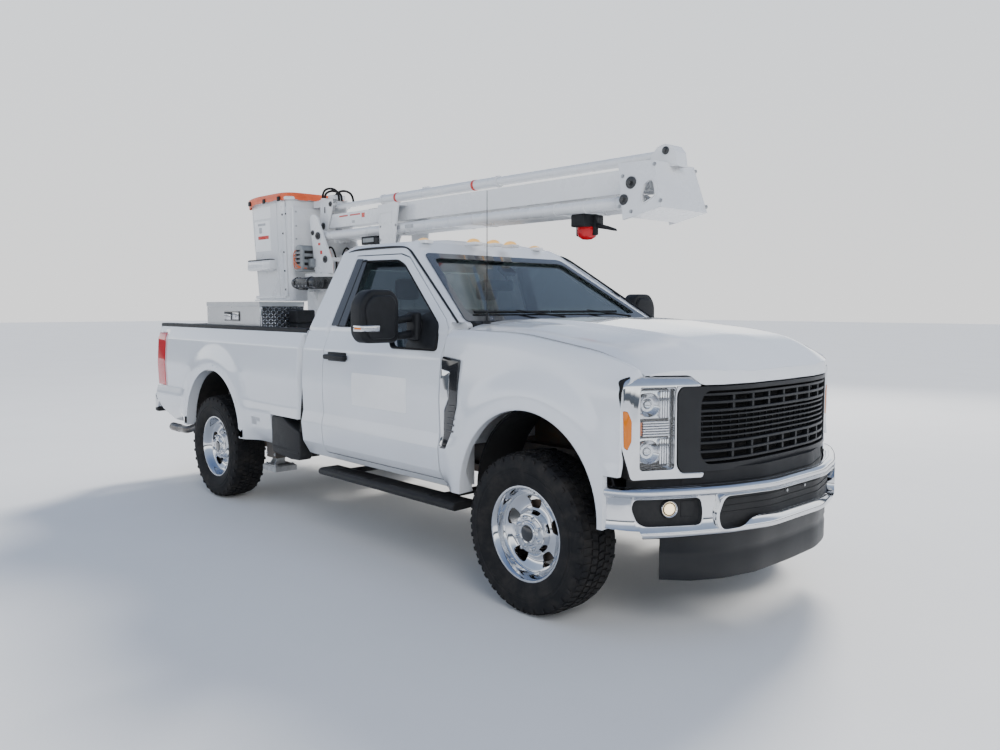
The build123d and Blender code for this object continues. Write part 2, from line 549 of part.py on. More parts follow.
def upper_boom():
    """Telescopic boom with its levelling tube."""
    x1, z1 = BOOM_PIVOT
    low, high = BOOM_Z
    w = BOOM_HALF_WIDTH
    outer = box((1165, 3560), (-w, w), (low, high)) - box(
        (1100, 3540), (-w + BOOM_WALL, w - BOOM_WALL), (low + BOOM_WALL, high - BOOM_WALL))
    heel = [(3500, low), (3640, 2195), (3668, 2215), (3668, 2250), (3640, 2290), (3500, high)]
    ear_slot = box((3440, 3561), (-58, 58), (z1 + 20, high + 5))
    outer = outer - ear_slot + both_sides(side_plate(heel, (w - 16, w)))
    collar = [(1165, high - 10), (1430, high - 10), (1380, 2025), (1190, 2025)]
    bridge = box((1165, 1430), (w, 150), (high - 30, high - 10))
    outer = outer + both_sides(side_plate(collar, (148, 158)) + bridge)
    save("outer_boom", outer - cross_pin(BOOM_PIVOT, 25.5, 0, 200))
    tip = (x1 - BOOM_LENGTH, z1)
    inner = box((320, 3200), (-60, 60), (low + 12, high - 12))
    inner = inner - box((330, 3300), (-54, 54), (low + 18, high - 18))
    x, z = tip
    nose = [(x - 35, 2215), (x + 120, 2215), (x + 120, 2320), (x + 40, 2320), (x - 35, 2275)]
    save("inner_boom", inner + both_sides(side_plate(nose, (44, 60))) - cross_pin(tip, 18.5, 0, 100))
    ear = (x1 + LEVEL_OFFSET[0], z1 + LEVEL_OFFSET[1])
    top = (x + LEVEL_OFFSET[0], z + LEVEL_OFFSET[1])
    z = LEVEL_TUBE_Z
    thick, thin, rod_r = LEVEL_TUBE_R
    sleeve = tube((1020, 0, z), (2360, 0, z), thick, 10) + tube((2340, 0, z), (ear[0] - 10, 0, z), thin, 5)
    save("level_sleeve", sleeve + cross_pin(ear, 27, 0, 28) - cross_pin(ear, 14.5, 0, 60))
    rod = bar((top[0] + 8, 0, z), (3100, 0, z), rod_r) + cross_pin(top, 26, 0, 28)
    save("level_rod", rod - cross_pin(top, 12.5, 0, 60))
    return tip, top


def bucket_loft(low, low_z, high, high_z):
    """A tapering round-cornered block: (length, width, corner) at its two heights."""
    sections = []
    for (length, width, corner), x, z in ((low, BUCKET_X[0], low_z), (high, BUCKET_X[1], high_z)):
        sections.append(Plane.XY.offset(z) * Pos(x, 0) * RectangleRounded(length, width, corner))
    return loft(sections)


def bucket_parts(tip, top):
    """Tip bracket, rotator and bucket."""
    x = tip[0]
    cheek = [(x - 45, 2200), (x + 60, 2200), (x + 140, 2380), (x + 140, 2450), (x - 45, 2450)]
    bracket = both_sides(side_plate(cheek, (66, 78))) + box((x - 60, x + 40), (-78, 78), (2440, 2456))
    shaft_x, shaft_y = ROTATOR
    bracket = bracket + box((shaft_x - 35, x), (-60, shaft_y + 35), (2400, 2456))
    bracket = bracket + cross_pin(tip, 18, 0, 80) + cross_pin(top, 12, 0, 80)
    save("tip_bracket", bracket + bar((shaft_x, shaft_y, 2010), (shaft_x, shaft_y, 2401), 25))
    base_z, top_z = BUCKET_BOTTOM_Z, BUCKET_TOP_Z
    outer = bucket_loft((630, 500, 60), base_z, (720, 560, 70), top_z)
    inner = bucket_loft((614, 484, 52), base_z + 12, (704, 544, 62), top_z + 5)
    ring = RectangleRounded(760, 600, 80) - RectangleRounded(700, 540, 60)
    lip = extrude(Plane.XY.offset(top_z - 28) * Pos(BUCKET_X[1], 0) * ring, 28)
    step = box((-650, -240), (-325, -200), (1880, 1960))
    save("bucket", outer + step - inner + lip)
    plate = box((22, 52), (-250, 195), (1995, 2395))
    for z in (2060, 2320):
        plate = plate + box((22, shaft_x + 36), (shaft_y - 36, shaft_y + 36), (z - 50, z + 50))
    save("bucket_mount", plate - bar((shaft_x, shaft_y, 1900), (shaft_x, shaft_y, 2500), 25.5))
    cover = Plane.XY.offset(top_z + 2) * Pos(BUCKET_X[1], 0) * RectangleRounded(790, 630, 90)
    save("bucket_cover", extrude(cover, 58))


def main():
    os.makedirs("parts", exist_ok=True)
    cab_parts()
    front_body()
    bed_parts()
    chassis()
    cab_inside()
    side_trim()
    wheels()
    lift_base()
    turret()
    lower_boom()
    tip, top = upper_boom()
    bucket_parts(tip, top)


main()
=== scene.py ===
"""The looks of a pickup truck with a telescopic bucket lift.

Lengths are in metres. Shapes are drawn in the truck's own stations, with X counted forwards
from the rear axle, Y to the left and Z up from the ground. piece() moves each one into place.
"""
import math
from math import cos, pi, radians, sin

import bmesh
import bpy
from mathutils import Matrix, Vector


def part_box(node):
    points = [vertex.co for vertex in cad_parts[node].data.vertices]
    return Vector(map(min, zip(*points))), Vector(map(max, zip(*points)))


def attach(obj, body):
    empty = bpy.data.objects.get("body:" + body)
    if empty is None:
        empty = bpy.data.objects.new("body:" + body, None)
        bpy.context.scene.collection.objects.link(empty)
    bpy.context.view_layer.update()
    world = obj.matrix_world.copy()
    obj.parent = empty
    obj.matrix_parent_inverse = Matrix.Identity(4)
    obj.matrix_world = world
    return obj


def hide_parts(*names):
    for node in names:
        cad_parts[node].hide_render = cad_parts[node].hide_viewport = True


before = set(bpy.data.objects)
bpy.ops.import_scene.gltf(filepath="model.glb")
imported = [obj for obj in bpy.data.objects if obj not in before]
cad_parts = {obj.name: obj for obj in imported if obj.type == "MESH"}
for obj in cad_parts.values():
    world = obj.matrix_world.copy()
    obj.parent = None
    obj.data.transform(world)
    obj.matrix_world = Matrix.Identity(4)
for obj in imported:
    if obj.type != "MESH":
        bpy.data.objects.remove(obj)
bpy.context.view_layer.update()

bl_info = {
    "name": "Bucket Lift Pickup",
    "version": (1, 0, 0),
    "blender": (4, 5, 0),
    "location": "3D View > Sidebar > Pickup",
    "description": "Paint, glass, lamps, wheels and fittings for a pickup with a bucket lift",
    "category": "Object",
}

# Driving dimensions, read from the frame where it has them
LOW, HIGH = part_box("tyre_rear_right")
REAR_AXLE_X = (LOW.x + HIGH.x) / 2
AXLE_Z = (LOW.z + HIGH.z) / 2
TYRE_R = (HIGH.z - LOW.z) / 2
REAR_WHEEL_Y = -(LOW.y + HIGH.y) / 2
LOW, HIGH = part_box("tyre_front_right")
WHEELBASE = (LOW.x + HIGH.x) / 2 - REAR_AXLE_X
FRONT_WHEEL_Y = -(LOW.y + HIGH.y) / 2
ARCH_R = 0.485
ARCH_Z = 0.56
FRONT_ARCH_X = 3.612
REAR_ARCH_X = 0.03
BELT_Z = 1.395
BED_REAR_X = -1.14
BED_FRONT_X = 1.425
BOOM_PIVOT = (3.629, 2.233)
ARM_PIVOT = (0.302, 2.144)
SLEW_X = 0.27
SIDES = (("right", -1), ("left", 1))

# The camera: where it stands in the frame, which way it looks, and its lens
EYE = (4.920, -3.901, 1.560)
LOOK_YAW = 136.95
LOOK_PITCH = -4.70
LOOK_ROLL = 0.10
FOCAL_PX = 839.1
IMAGE_WIDTH = 1000
SENSOR_MM = 36


# Helpers that shape meshes

def everything(bm):
    """All the points, edges and faces of a mesh."""
    return bm.verts[:] + bm.edges[:] + bm.faces[:]


def points_of(geometry):
    """The points among some geometry."""
    return [part for part in geometry if isinstance(part, bmesh.types.BMVert)]


def outward(bm):
    """Turn every face outwards."""
    bmesh.ops.recalc_face_normals(bm, faces=bm.faces)


def thicken(bm, axis, thickness):
    """Give an open sheet a thickness, grown from the side that faces away from an axis: its own area."""
    outward(bm)
    if sum(f.normal["xyz".index(axis)] for f in bm.faces) < 0:
        bmesh.ops.reverse_faces(bm, faces=bm.faces)
    area = sum(f.calc_area() for f in bm.faces)
    bmesh.ops.solidify(bm, geom=bm.faces[:], thickness=thickness)
    return area


def bevelled(bm, edges, width, segments=2):
    """Round the given edges."""
    bmesh.ops.bevel(bm, geom=edges, offset=width, offset_type="OFFSET", affect="EDGES", segments=segments,
                    profile=0.5, material=-1, clamp_overlap=True)


def paint(verts, index):
    """Give the faces at some points one of the piece's finishes."""
    for face in {f for v in verts for f in v.link_faces}:
        face.material_index = index


def block(bm, x, y, z, width=0.0, segments=2, index=0):
    """A block between two corners, each side given as a pair of its ends, with rounded edges."""
    size = Vector((abs(x[1] - x[0]), abs(y[1] - y[0]), abs(z[1] - z[0])))
    middle = Vector(((x[0] + x[1]) / 2, (y[0] + y[1]) / 2, (z[0] + z[1]) / 2))
    place = Matrix.Translation(middle) @ Matrix.Diagonal(size.to_4d())
    verts = bmesh.ops.create_cube(bm, size=1, matrix=place)["verts"]
    paint(verts, index)
    if width:
        bevelled(bm, list({e for v in verts for e in v.link_edges}), width, segments)


def rod(bm, start, end, radius, far_radius=None, steps=24, width=0.0, index=0):
    """A round bar or cone between two points, its ends rounded by width."""
    start, end = Vector(start), Vector(end)
    run = end - start
    place = Matrix.Translation((start + end) / 2) @ run.to_track_quat("Z", "Y").to_matrix().to_4x4()
    far = radius if far_radius is None else far_radius
    verts = bmesh.ops.create_cone(bm, cap_ends=True, segments=steps, radius1=radius, radius2=far,
                                  depth=run.length, matrix=place)["verts"]
    paint(verts, index)
    if width:
        rims = [e for e in {e for v in verts for e in v.link_edges} if e.calc_face_angle(0) > 1.0]
        bevelled(bm, rims, width)


def plate(bm, points, axis, low, high, width=0.0, segments=2, index=0):
    """A flat outline carried along one axis. Points hold the other two coordinates in order."""
    def corner(point):
        place = list(point)
        place.insert("xyz".index(axis), low)
        return place
    face = bm.faces.new([bm.verts.new(corner(p)) for p in points])
    face.material_index = index
    verts = points_of(bmesh.ops.extrude_face_region(bm, geom=[face])["geom"])
    step = [0, 0, 0]
    step["xyz".index(axis)] = high - low
    bmesh.ops.translate(bm, verts=verts, vec=step)
    faces = {f for v in verts for f in v.link_faces} | {face}
    bmesh.ops.recalc_face_normals(bm, faces=list(faces))
    if width:
        edges = {e for f in faces for e in f.edges if e.calc_face_angle(0) > 0.6}
        bevelled(bm, list(edges), width, segments)


def lathe(bm, profile, centre, axis="y", steps=48, index=0):
    """A turned shape: a profile of (distance along the axis, radius) pairs, spun round it."""
    along = {"x": Vector((1, 0, 0)), "y": Vector((0, 1, 0)), "z": Vector((0, 0, 1))}[axis]
    out = Vector((0, 0, 1)) if axis != "z" else Vector((1, 0, 0))
    centre = Vector(centre)
    verts = [bm.verts.new(centre + along * a + out * r) for a, r in profile]
    edges = [bm.edges.new(pair) for pair in zip(verts, verts[1:])]
    bmesh.ops.spin(bm, geom=verts + edges, cent=centre, axis=along, angle=2 * pi, steps=steps, use_merge=True)
    bmesh.ops.remove_doubles(bm, verts=bm.verts, dist=1e-5)
    for face in bm.faces:
        if not face.tag:
            face.material_index = index
            face.tag = True


def surface(bm, columns, rows, place, index=0):
    """A grid whose points are put where place(u, v) says, u and v running from 0 to 1."""
    verts = bmesh.ops.create_grid(bm, x_segments=columns, y_segments=rows, size=0.5)["verts"]
    for vert in verts:
        u, v = vert.co.x + 0.5, vert.co.y + 0.5
        vert.co = Vector(place(round(u, 6), round(v, 6)))
    paint(verts, index)


def copies(bm, parts, turns, centre, axis):
    """Copies of some geometry turned round a centre."""
    for turn in range(1, turns):
        verts = points_of(bmesh.ops.duplicate(bm, geom=parts)["geom"])
        bmesh.ops.rotate(bm, verts=verts, cent=centre, matrix=Matrix.Rotation(2 * pi * turn / turns, 3, axis))


def both_sides(bm):
    """Add the mirror image across the truck."""
    made = bmesh.ops.duplicate(bm, geom=everything(bm))["geom"]
    bmesh.ops.scale(bm, verts=points_of(made), vec=(1, -1, 1))
    bmesh.ops.reverse_faces(bm, faces=[f for f in made if isinstance(f, bmesh.types.BMFace)])


def between(sign, near, far):
    """The ends of a span on one side of the truck, lowest first."""
    return sorted((sign * near, sign * far))


def across(sign, outline):
    """An outline of (y, z) points on one side of the truck."""
    return [(y * sign, z) for y, z in outline]


def scaled(points, middle, share):
    """An outline grown or shrunk about a point."""
    middle = Vector(middle)
    return [tuple(middle + (Vector(p) - middle) * share) for p in points]


def smooth_step(low, high, value):
    """0 below low, 1 above high and an even bend between."""
    share = min(1.0, max(0.0, (value - low) / (high - low)))
    return share * share * (3 - 2 * share)


def blend_between(table, value):
    """The value that a table of (position, value) pairs gives at a position, along straight lines."""
    if value <= table[0][0]:
        return table[0][1]
    for (x0, y0), (x1, y1) in zip(table, table[1:]):
        if value <= x1:
            return y0 + (y1 - y0) * (value - x0) / (x1 - x0)
    return table[-1][1]


def put_in_scene(thing):
    """Link an object to the scene."""
    bpy.context.scene.collection.objects.link(thing)


def piece(name, bm, finishes, body, crease=32, stands_for=()):
    """Finish a mesh: move it into the frame, give it its finishes by name, and its body."""
    bmesh.ops.translate(bm, verts=bm.verts, vec=(REAR_AXLE_X, 0, 0))
    mesh = bpy.data.meshes.new(name)
    bm.to_mesh(mesh)
    bm.free()
    for finish_name in finishes.split():
        mesh.materials.append(FINISHES[finish_name])
    mesh.shade_smooth()
    mesh.set_sharp_from_angle(angle=radians(crease))
    thing = bpy.data.objects.new(name, mesh)
    put_in_scene(thing)
    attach(thing, body)
    if stands_for:
        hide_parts(*stands_for)
    return thing


def cad_copy(node):
    """A copy of a CAD node's mesh with its triangles joined into whole faces."""
    bm = bmesh.new()
    bm.from_mesh(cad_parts[node].data)
    bmesh.ops.remove_doubles(bm, verts=bm.verts, dist=2e-5)
    bmesh.ops.dissolve_limit(bm, angle_limit=radians(0.4), verts=bm.verts, edges=bm.edges)
    bmesh.ops.translate(bm, verts=bm.verts, vec=(-REAR_AXLE_X, 0, 0))
    return bm


def slice_up(bm, axis, positions):
    """Cut a mesh along planes, so that it has points to bend at."""
    normal = {"x": (1, 0, 0), "y": (0, 1, 0), "z": (0, 0, 1)}[axis]
    for position in positions:
        spot = [position * n for n in normal]
        bmesh.ops.bisect_plane(bm, geom=everything(bm), dist=1e-5, plane_co=spot, plane_no=normal)


def above(bm, z):
    """Keep only what stands above a height."""
    bmesh.ops.bisect_plane(bm, geom=everything(bm), plane_co=(0, 0, z), plane_no=(0, 0, 1), clear_inner=True)


def steps(low, high, size):
    """Evenly spaced positions between two ends."""
    count = max(1, round((high - low) / size))
    return [low + (high - low) * i / count for i in range(count + 1)]


def soften(bm, rounds, axes, sharp=28, keep=None):
    """Turn flat facets into one curve, leaving sharp edges where they are."""
    free = [v for v in bm.verts
            if all(e.is_manifold and e.calc_face_angle(0) < radians(sharp) for e in v.link_edges)
            and not (keep and keep(v.co))]
    for _ in range(rounds):
        bmesh.ops.smooth_vert(bm, verts=free, factor=0.5, use_axis_x="x" in axes, use_axis_y="y" in axes,
                              use_axis_z="z" in axes)


# Helpers that make finishes

FINISHES = {}
GLASS_IOR = 1.45
COAT_ROUGHNESS = 0.04
DUST_COLOUR = (0.33, 0.29, 0.24, 1)
DUST_LOW_Z, DUST_HIGH_Z = 0.35, 1.05


def set_sockets(node, values):
    """Set a node's inputs from a table of names and values."""
    for name, value in values.items():
        node.inputs[name].default_value = value


def finish(name, colour, roughness=0.4, metallic=0.0, coat=0.0, stain=None, stain_scale=4.0, stain_share=0.5,
           rough_spread=0.08, bump=None, edge=0.0, dust=0.0, transmission=0.0, sheen=0.0, light=0.0, shine=0.5):
    """A surface whose colour, gloss and relief vary over it.

    bump is (scale, depth in metres, detail); edge is the radius that edges look worn round to;
    dust is the share of road dust that gathers on the lowest parts.
    """
    material = bpy.data.materials.new(name)
    material.use_nodes = True
    nodes, links = material.node_tree.nodes, material.node_tree.links
    shader = nodes["Principled BSDF"]
    set_sockets(shader, {"Metallic": metallic, "Coat Weight": coat, "Coat Roughness": COAT_ROUGHNESS,
                         "Specular IOR Level": shine, "Transmission Weight": transmission, "Sheen Weight": sheen})
    spot = nodes.new("ShaderNodeTexCoord")
    noise = nodes.new("ShaderNodeTexNoise")
    set_sockets(noise, {"Scale": stain_scale, "Detail": 6, "Roughness": 0.62})
    links.new(spot.outputs["Object"], noise.inputs["Vector"])
    ramp = nodes.new("ShaderNodeValToRGB")
    ramp.color_ramp.elements[0].position = 0.5 - 0.35 * stain_share
    ramp.color_ramp.elements[1].position = 0.75
    ramp.color_ramp.elements[0].color = (*colour, 1)
    other = stain if stain else [c * 0.86 for c in colour]
    ramp.color_ramp.elements[1].color = (*other, 1)
    links.new(noise.outputs["Fac"], ramp.inputs["Fac"])
    tint = ramp.outputs["Color"]
    rough = nodes.new("ShaderNodeMapRange")
    set_sockets(rough, {"From Min": 0.3, "From Max": 0.7, "To Min": max(0.0, roughness - rough_spread),
                        "To Max": min(1.0, roughness + rough_spread)})
    links.new(noise.outputs["Fac"], rough.inputs["Value"])
    links.new(rough.outputs["Result"], shader.inputs["Roughness"])
    if dust:
        parts = nodes.new("ShaderNodeSeparateXYZ")
        links.new(spot.outputs["Object"], parts.inputs["Vector"])
        height = nodes.new("ShaderNodeMapRange")
        set_sockets(height, {"From Min": DUST_LOW_Z, "From Max": DUST_HIGH_Z, "To Min": dust, "To Max": 0.0})
        links.new(parts.outputs["Z"], height.inputs["Value"])
        share = nodes.new("ShaderNodeMath")
        share.operation = "MULTIPLY"
        links.new(height.outputs["Result"], share.inputs[0])
        links.new(noise.outputs["Fac"], share.inputs[1])
        mix = nodes.new("ShaderNodeMix")
        mix.data_type = "RGBA"
        mix.inputs["B"].default_value = DUST_COLOUR
        links.new(share.outputs["Value"], mix.inputs["Factor"])
        links.new(tint, mix.inputs["A"])
        tint = mix.outputs["Result"]
    links.new(tint, shader.inputs["Base Color"])
    normal = None
    if edge:
        rounded = nodes.new("ShaderNodeBevel")
        rounded.samples = 4
        rounded.inputs["Radius"].default_value = edge
        normal = rounded.outputs["Normal"]
    if bump:
        scale, depth, detail = bump
        grain = nodes.new("ShaderNodeTexNoise")
        set_sockets(grain, {"Scale": scale, "Detail": detail})
        links.new(spot.outputs["Object"], grain.inputs["Vector"])
        relief = nodes.new("ShaderNodeBump")
        set_sockets(relief, {"Distance": depth, "Strength": 1.0})
        links.new(grain.outputs["Fac"], relief.inputs["Height"])
        if normal:
            links.new(normal, relief.inputs["Normal"])
        normal = relief.outputs["Normal"]
    if normal:
        links.new(normal, shader.inputs["Normal"])
    if light:
        set_sockets(shader, {"Emission Strength": light, "Emission Color": (*colour, 1)})
    FINISHES[name] = material
    return material


def make_finishes(looks):
    """Every finish of the truck, from the colours in its settings."""
    body, boom = looks.body_paint[:], looks.boom_paint[:]
    finish("body_paint", body, 0.22, coat=1.0, stain=[c * 0.97 for c in body], stain_scale=1.7,
           rough_spread=0.04, bump=(260, 0.00002, 2), edge=0.004, dust=0.35)
    finish("boom_paint", boom, 0.3, coat=0.5, stain=[c * 0.93 for c in boom], stain_scale=5,
           bump=(160, 0.00005, 3), edge=0.003)
    finish("bucket_shell", [c * 0.98 for c in boom], 0.28, coat=0.6, stain=[c * 0.9 for c in boom],
           stain_scale=3, bump=(60, 0.0002, 4), edge=0.006)
    finish("chrome", (0.70, 0.71, 0.73), 0.05, 1.0, stain=(0.62, 0.63, 0.65), stain_scale=9,
           rough_spread=0.04, edge=0.002)
    finish("wheel_metal", (0.56, 0.57, 0.59), 0.2, 1.0, stain=(0.38, 0.38, 0.39), stain_scale=12,
           rough_spread=0.08, edge=0.002, dust=0.12)
    finish("polished_metal", (0.7, 0.71, 0.73), 0.18, 1.0, stain=(0.5, 0.5, 0.52), stain_scale=14)
    finish("zinc", (0.5, 0.51, 0.52), 0.42, 0.9, stain=(0.36, 0.36, 0.36), stain_scale=25)
    finish("tread_sheet", (0.72, 0.725, 0.73), 0.3, 0.9, stain=(0.62, 0.625, 0.63), stain_scale=6,
           rough_spread=0.04, edge=0.0015)
    # The tread plate's ground, painted near black for the shade and dark reflections on the chest's front.
    finish("tread_ground", (0.045, 0.048, 0.052), 0.34, 0.6, stain=(0.07, 0.073, 0.08), stain_scale=14)
    finish("black_plastic", (0.010, 0.0105, 0.012), 0.5, stain=(0.018, 0.019, 0.021), stain_scale=20,
           bump=(900, 0.00012, 2), edge=0.002, dust=0.06, shine=0.22)
    finish("black_gloss", (0.008, 0.008, 0.01), 0.12, coat=0.8, stain=(0.014, 0.014, 0.016), edge=0.002)
    finish("grille_black", (0.009, 0.0095, 0.011), 0.4, stain=(0.016, 0.017, 0.019),
           bump=(500, 0.00008, 2), edge=0.0015, shine=0.3)
    finish("rubber", (0.010, 0.010, 0.011), 0.75, stain=(0.022, 0.021, 0.02), stain_scale=14,
           bump=(220, 0.0002, 3), dust=0.12, shine=0.15)
    finish("tyre_rubber", (0.010, 0.010, 0.011), 0.72, stain=(0.034, 0.031, 0.028), stain_scale=11,
           stain_share=0.2, bump=(150, 0.0003, 4), shine=0.2)
    finish("frame_steel", (0.02, 0.02, 0.021), 0.55, stain=(0.06, 0.042, 0.03), stain_scale=16,
           bump=(90, 0.0004, 4), dust=0.3)
    finish("cast_iron", (0.09, 0.085, 0.08), 0.6, 0.6, stain=(0.14, 0.085, 0.05), stain_scale=18,
           bump=(140, 0.0006, 4))
    finish("exhaust_steel", (0.24, 0.24, 0.24), 0.36, 1.0, stain=(0.12, 0.10, 0.085), stain_scale=22)
    finish("dark_metal", (0.05, 0.052, 0.055), 0.28, 0.8, stain=(0.1, 0.1, 0.1), stain_scale=20,
           bump=(120, 0.0003, 3), edge=0.002)
    finish("valve_grey", (0.27, 0.29, 0.3), 0.4, 0.3, stain=(0.2, 0.21, 0.22), stain_scale=22, edge=0.002)
    finish("cover_orange", (0.85, 0.13, 0.03), 0.42, stain=(0.62, 0.085, 0.02), stain_scale=7,
           bump=(420, 0.00025, 3), sheen=0.3)
    finish("ring_red", (0.62, 0.03, 0.02), 0.3, coat=0.4, stain=(0.45, 0.02, 0.015), edge=0.002)
    finish("wire_orange", (0.8, 0.16, 0.03), 0.4, stain=(0.6, 0.1, 0.02))
    finish("seat_cloth", (0.035, 0.036, 0.04), 0.85, stain=(0.06, 0.06, 0.066), stain_scale=40,
           bump=(700, 0.0004, 3), sheen=0.4)
    finish("cabin_trim", (0.03, 0.031, 0.034), 0.62, stain=(0.05, 0.05, 0.055), stain_scale=12,
           bump=(600, 0.0002, 2))
    finish("label_white", (0.90, 0.90, 0.89), 0.5, stain=(0.86, 0.86, 0.85), stain_scale=14)
    finish("label_grey", (0.34, 0.35, 0.37), 0.4, stain=(0.5, 0.51, 0.52), stain_scale=30)
    finish("mirror_glass", (0.7, 0.73, 0.76), 0.03, 1.0, stain=(0.66, 0.69, 0.72), rough_spread=0.02)
    finish("bed_floor_paint", body, 0.38, coat=0.3, stain=[c * 0.72 for c in body], stain_scale=6,
           bump=(90, 0.0002, 4), edge=0.002)
    glass = [
        ("window_glass", (0.55, 0.63, 0.62), 1.0, 0.0), ("side_glass", (0.3, 0.35, 0.36), 1.0, 0.0),
        ("lamp_glass", (0.96, 0.97, 0.98), 1.0, 0.0), ("amber_glass", (0.85, 0.22, 0.008), 0.4, 0.12),
        ("red_glass", (0.50, 0.004, 0.010), 0.15, 0.10), ("marker_glass", (0.98, 0.6, 0.2), 1.0, 0.5),
    ]
    for name, colour, clear, glow in glass:
        material = finish(name, colour, 0.03, stain=[c * 0.94 for c in colour], transmission=clear,
                          rough_spread=0.02, light=glow)
        set_sockets(material.node_tree.nodes["Principled BSDF"], {"IOR": GLASS_IOR})
    finish("bulb", (1.0, 0.80, 0.48), 0.3, stain=(1.0, 0.76, 0.42), light=1.4)


# The finish of each CAD node, whether it shows or a shaped piece stands for it
NODE_FINISHES = {
    "frame_steel": "frame_rails stabiliser_beam",
    "cast_iron": "engine_block axles knuckle_left knuckle_right",
    "black_plastic": "fuel_tank front_panels running_boards control_box mirror_left mirror_right",
    "exhaust_steel": "exhaust",
    "cabin_trim": "dashboard steering_wheel",
    "seat_cloth": "seat",
    "boom_paint": "pedestal turret lower_arm level_link cylinder_barrel boom_knuckle outer_boom inner_boom "
                  "level_sleeve level_rod tip_bracket bucket_mount",
    "dark_metal": "slew_drive",
    "valve_grey": "valve_block",
    "zinc": "stabiliser_left stabiliser_right",
    "tread_sheet": "toolbox toolbox_lid",
    "polished_metal": "cylinder_rod",
    "bucket_shell": "bucket",
    "cover_orange": "bucket_cover",
    "grille_black": "grille",
    "lamp_glass": "headlamps",
    "chrome": "bumpers",
    "bed_floor_paint": "bed_floor",
    "body_paint": "bed_sides tailgate cab_shell wings bonnet door_left door_right",
    "red_glass": "tail_lamps",
    "window_glass": "cab_glass",
    "side_glass": "door_glass_left door_glass_right",
    "wheel_metal": "wheel_front_left wheel_front_right wheel_rear_left wheel_rear_right",
    "tyre_rubber": "tyre_front_left tyre_front_right tyre_rear_left tyre_rear_right",
}


def dress(node, name):
    """Give a CAD node its finish."""
    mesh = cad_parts[node].data
    mesh.materials.clear()
    mesh.materials.append(FINISHES[name])


# Body panels

FLARE_INNER_R = 0.533
FLARE_OUTER_R = 0.70
FLARE_Y = 1.011
CREASE_Z = 0.88
SKIN_DEPTH = 0.012


def arch_flare(co, centre_x):
    """Swell a body side towards a wheel arch's lip."""
    reach = math.hypot(co.x - centre_x, max(0.0, co.z - ARCH_Z))
    share = 1 - smooth_step(FLARE_INNER_R, FLARE_OUTER_R, reach)
    if share > 0 and co.z > 0.5:
        co.y += (math.copysign(FLARE_Y, co.y) - co.y) * share


def below_crease(co):
    """Whether a point lies in the flat foot of a panel, below its lower crease."""
    return co.z < CREASE_Z


# The body side's section: how far out it stands at each height
SIDE_HALF = ((0.545, 0.932), (0.64, 0.988), (0.77, 1.0), (0.85, 0.982), (1.05, 0.99), (1.27, 0.975),
             (1.395, 0.925))


def body_y(z):
    """How far out the body's side stands at a height."""
    return blend_between(SIDE_HALF, z)


def lay(bm, sign, side, stand=0.0):
    """Lay a mesh, drawn flat with Y as its height off the surface, on one side of the truck or lift.

    side gives how far out the surface stands at a height.
    """
    for vert in bm.verts:
        vert.co.y = sign * (side(vert.co.z) + vert.co.y + stand)
    if sign < 0:
        bmesh.ops.reverse_faces(bm, faces=bm.faces)


def on_body(bm, sign, stand=0.0):
    """Lay a flat mesh on the body's side."""
    lay(bm, sign, body_y, stand)


def outer_skin(co):
    """Whether a point of a body side lies on its outer face."""
    return abs(co.y) > body_y(co.z) - SKIN_DEPTH


def body_side(bm, centre_x, low_x, high_x):
    """Curve a wing or bed side: even between its edges, crisp at the lower crease."""
    slice_up(bm, "x", steps(low_x, high_x, 0.05))
    slice_up(bm, "z", steps(0.56, 1.52, 0.04))
    soften(bm, 6, "yz", keep=below_crease)
    for vert in bm.verts:
        if outer_skin(vert.co):
            arch_flare(vert.co, centre_x)


def join(bm, other):
    """Add another mesh to this one. The other is used up."""
    mesh = bpy.data.meshes.new("scratch")
    other.to_mesh(mesh)
    other.free()
    bm.from_mesh(mesh)
    bpy.data.meshes.remove(mesh)


def cut(bm, tool):
    """The first closed mesh less the second. Both are used up."""
    things = []
    for mesh_data in (bm, tool):
        mesh = bpy.data.meshes.new("scratch")
        mesh_data.to_mesh(mesh)
        mesh_data.free()
        things.append(bpy.data.objects.new("scratch", mesh))
        put_in_scene(things[-1])
    change = things[0].modifiers.new("cut", "BOOLEAN")
    change.object = things[1]
    change.operation = "DIFFERENCE"
    change.solver = "EXACT"
    result = bmesh.new()
    result.from_object(things[0], bpy.context.evaluated_depsgraph_get())
    for thing in things:
        mesh = thing.data
        bpy.data.objects.remove(thing)
        bpy.data.meshes.remove(mesh)
    return result


def rounded(points, radius, segments=5):
    """An outline with each corner drawn as an arc."""
    made = []
    for i, here in enumerate(points):
        here = Vector(here)
        back = (Vector(points[i - 1]) - here)
        on = (Vector(points[(i + 1) % len(points)]) - here)
        reach = min(radius, back.length * 0.45, on.length * 0.45)
        start, end = here + back.normalized() * reach, here + on.normalized() * reach
        for step in range(segments + 1):
            t = step / segments
            made.append(tuple(start * (1 - t) ** 2 + here * 2 * t * (1 - t) + end * t * t))
    return made


def oblong(low_u, high_u, low_v, high_v, radius):
    """A rectangle with round corners."""
    return rounded([(low_u, low_v), (high_u, low_v), (high_u, high_v), (low_u, high_v)], radius)


def make_plan(half, spread, step=0.01):
    """A smooth line across the truck's front, from half of it as (x, y) points: (distance, point) rows."""
    points = [Vector((x, -y)) for x, y in reversed(half[1:])] + [Vector(p) for p in half]
    line = [points[0]]
    for a, b in zip(points, points[1:]):
        count = max(1, round((b - a).length / step))
        line += [a.lerp(b, i / count) for i in range(1, count + 1)]
    reach = round(spread / step)
    smooth = []
    for i in range(len(line)):
        near = min(reach, i, len(line) - 1 - i)
        part = line[i - near:i + near + 1]
        smooth.append(sum(part, Vector((0, 0))) / len(part))
    rows, distance = [], 0.0
    for i, point in enumerate(smooth):
        distance += (point - smooth[i - 1]).length if i else 0.0
        rows.append((distance, point))
    return [(d - distance / 2, p) for d, p in rows]


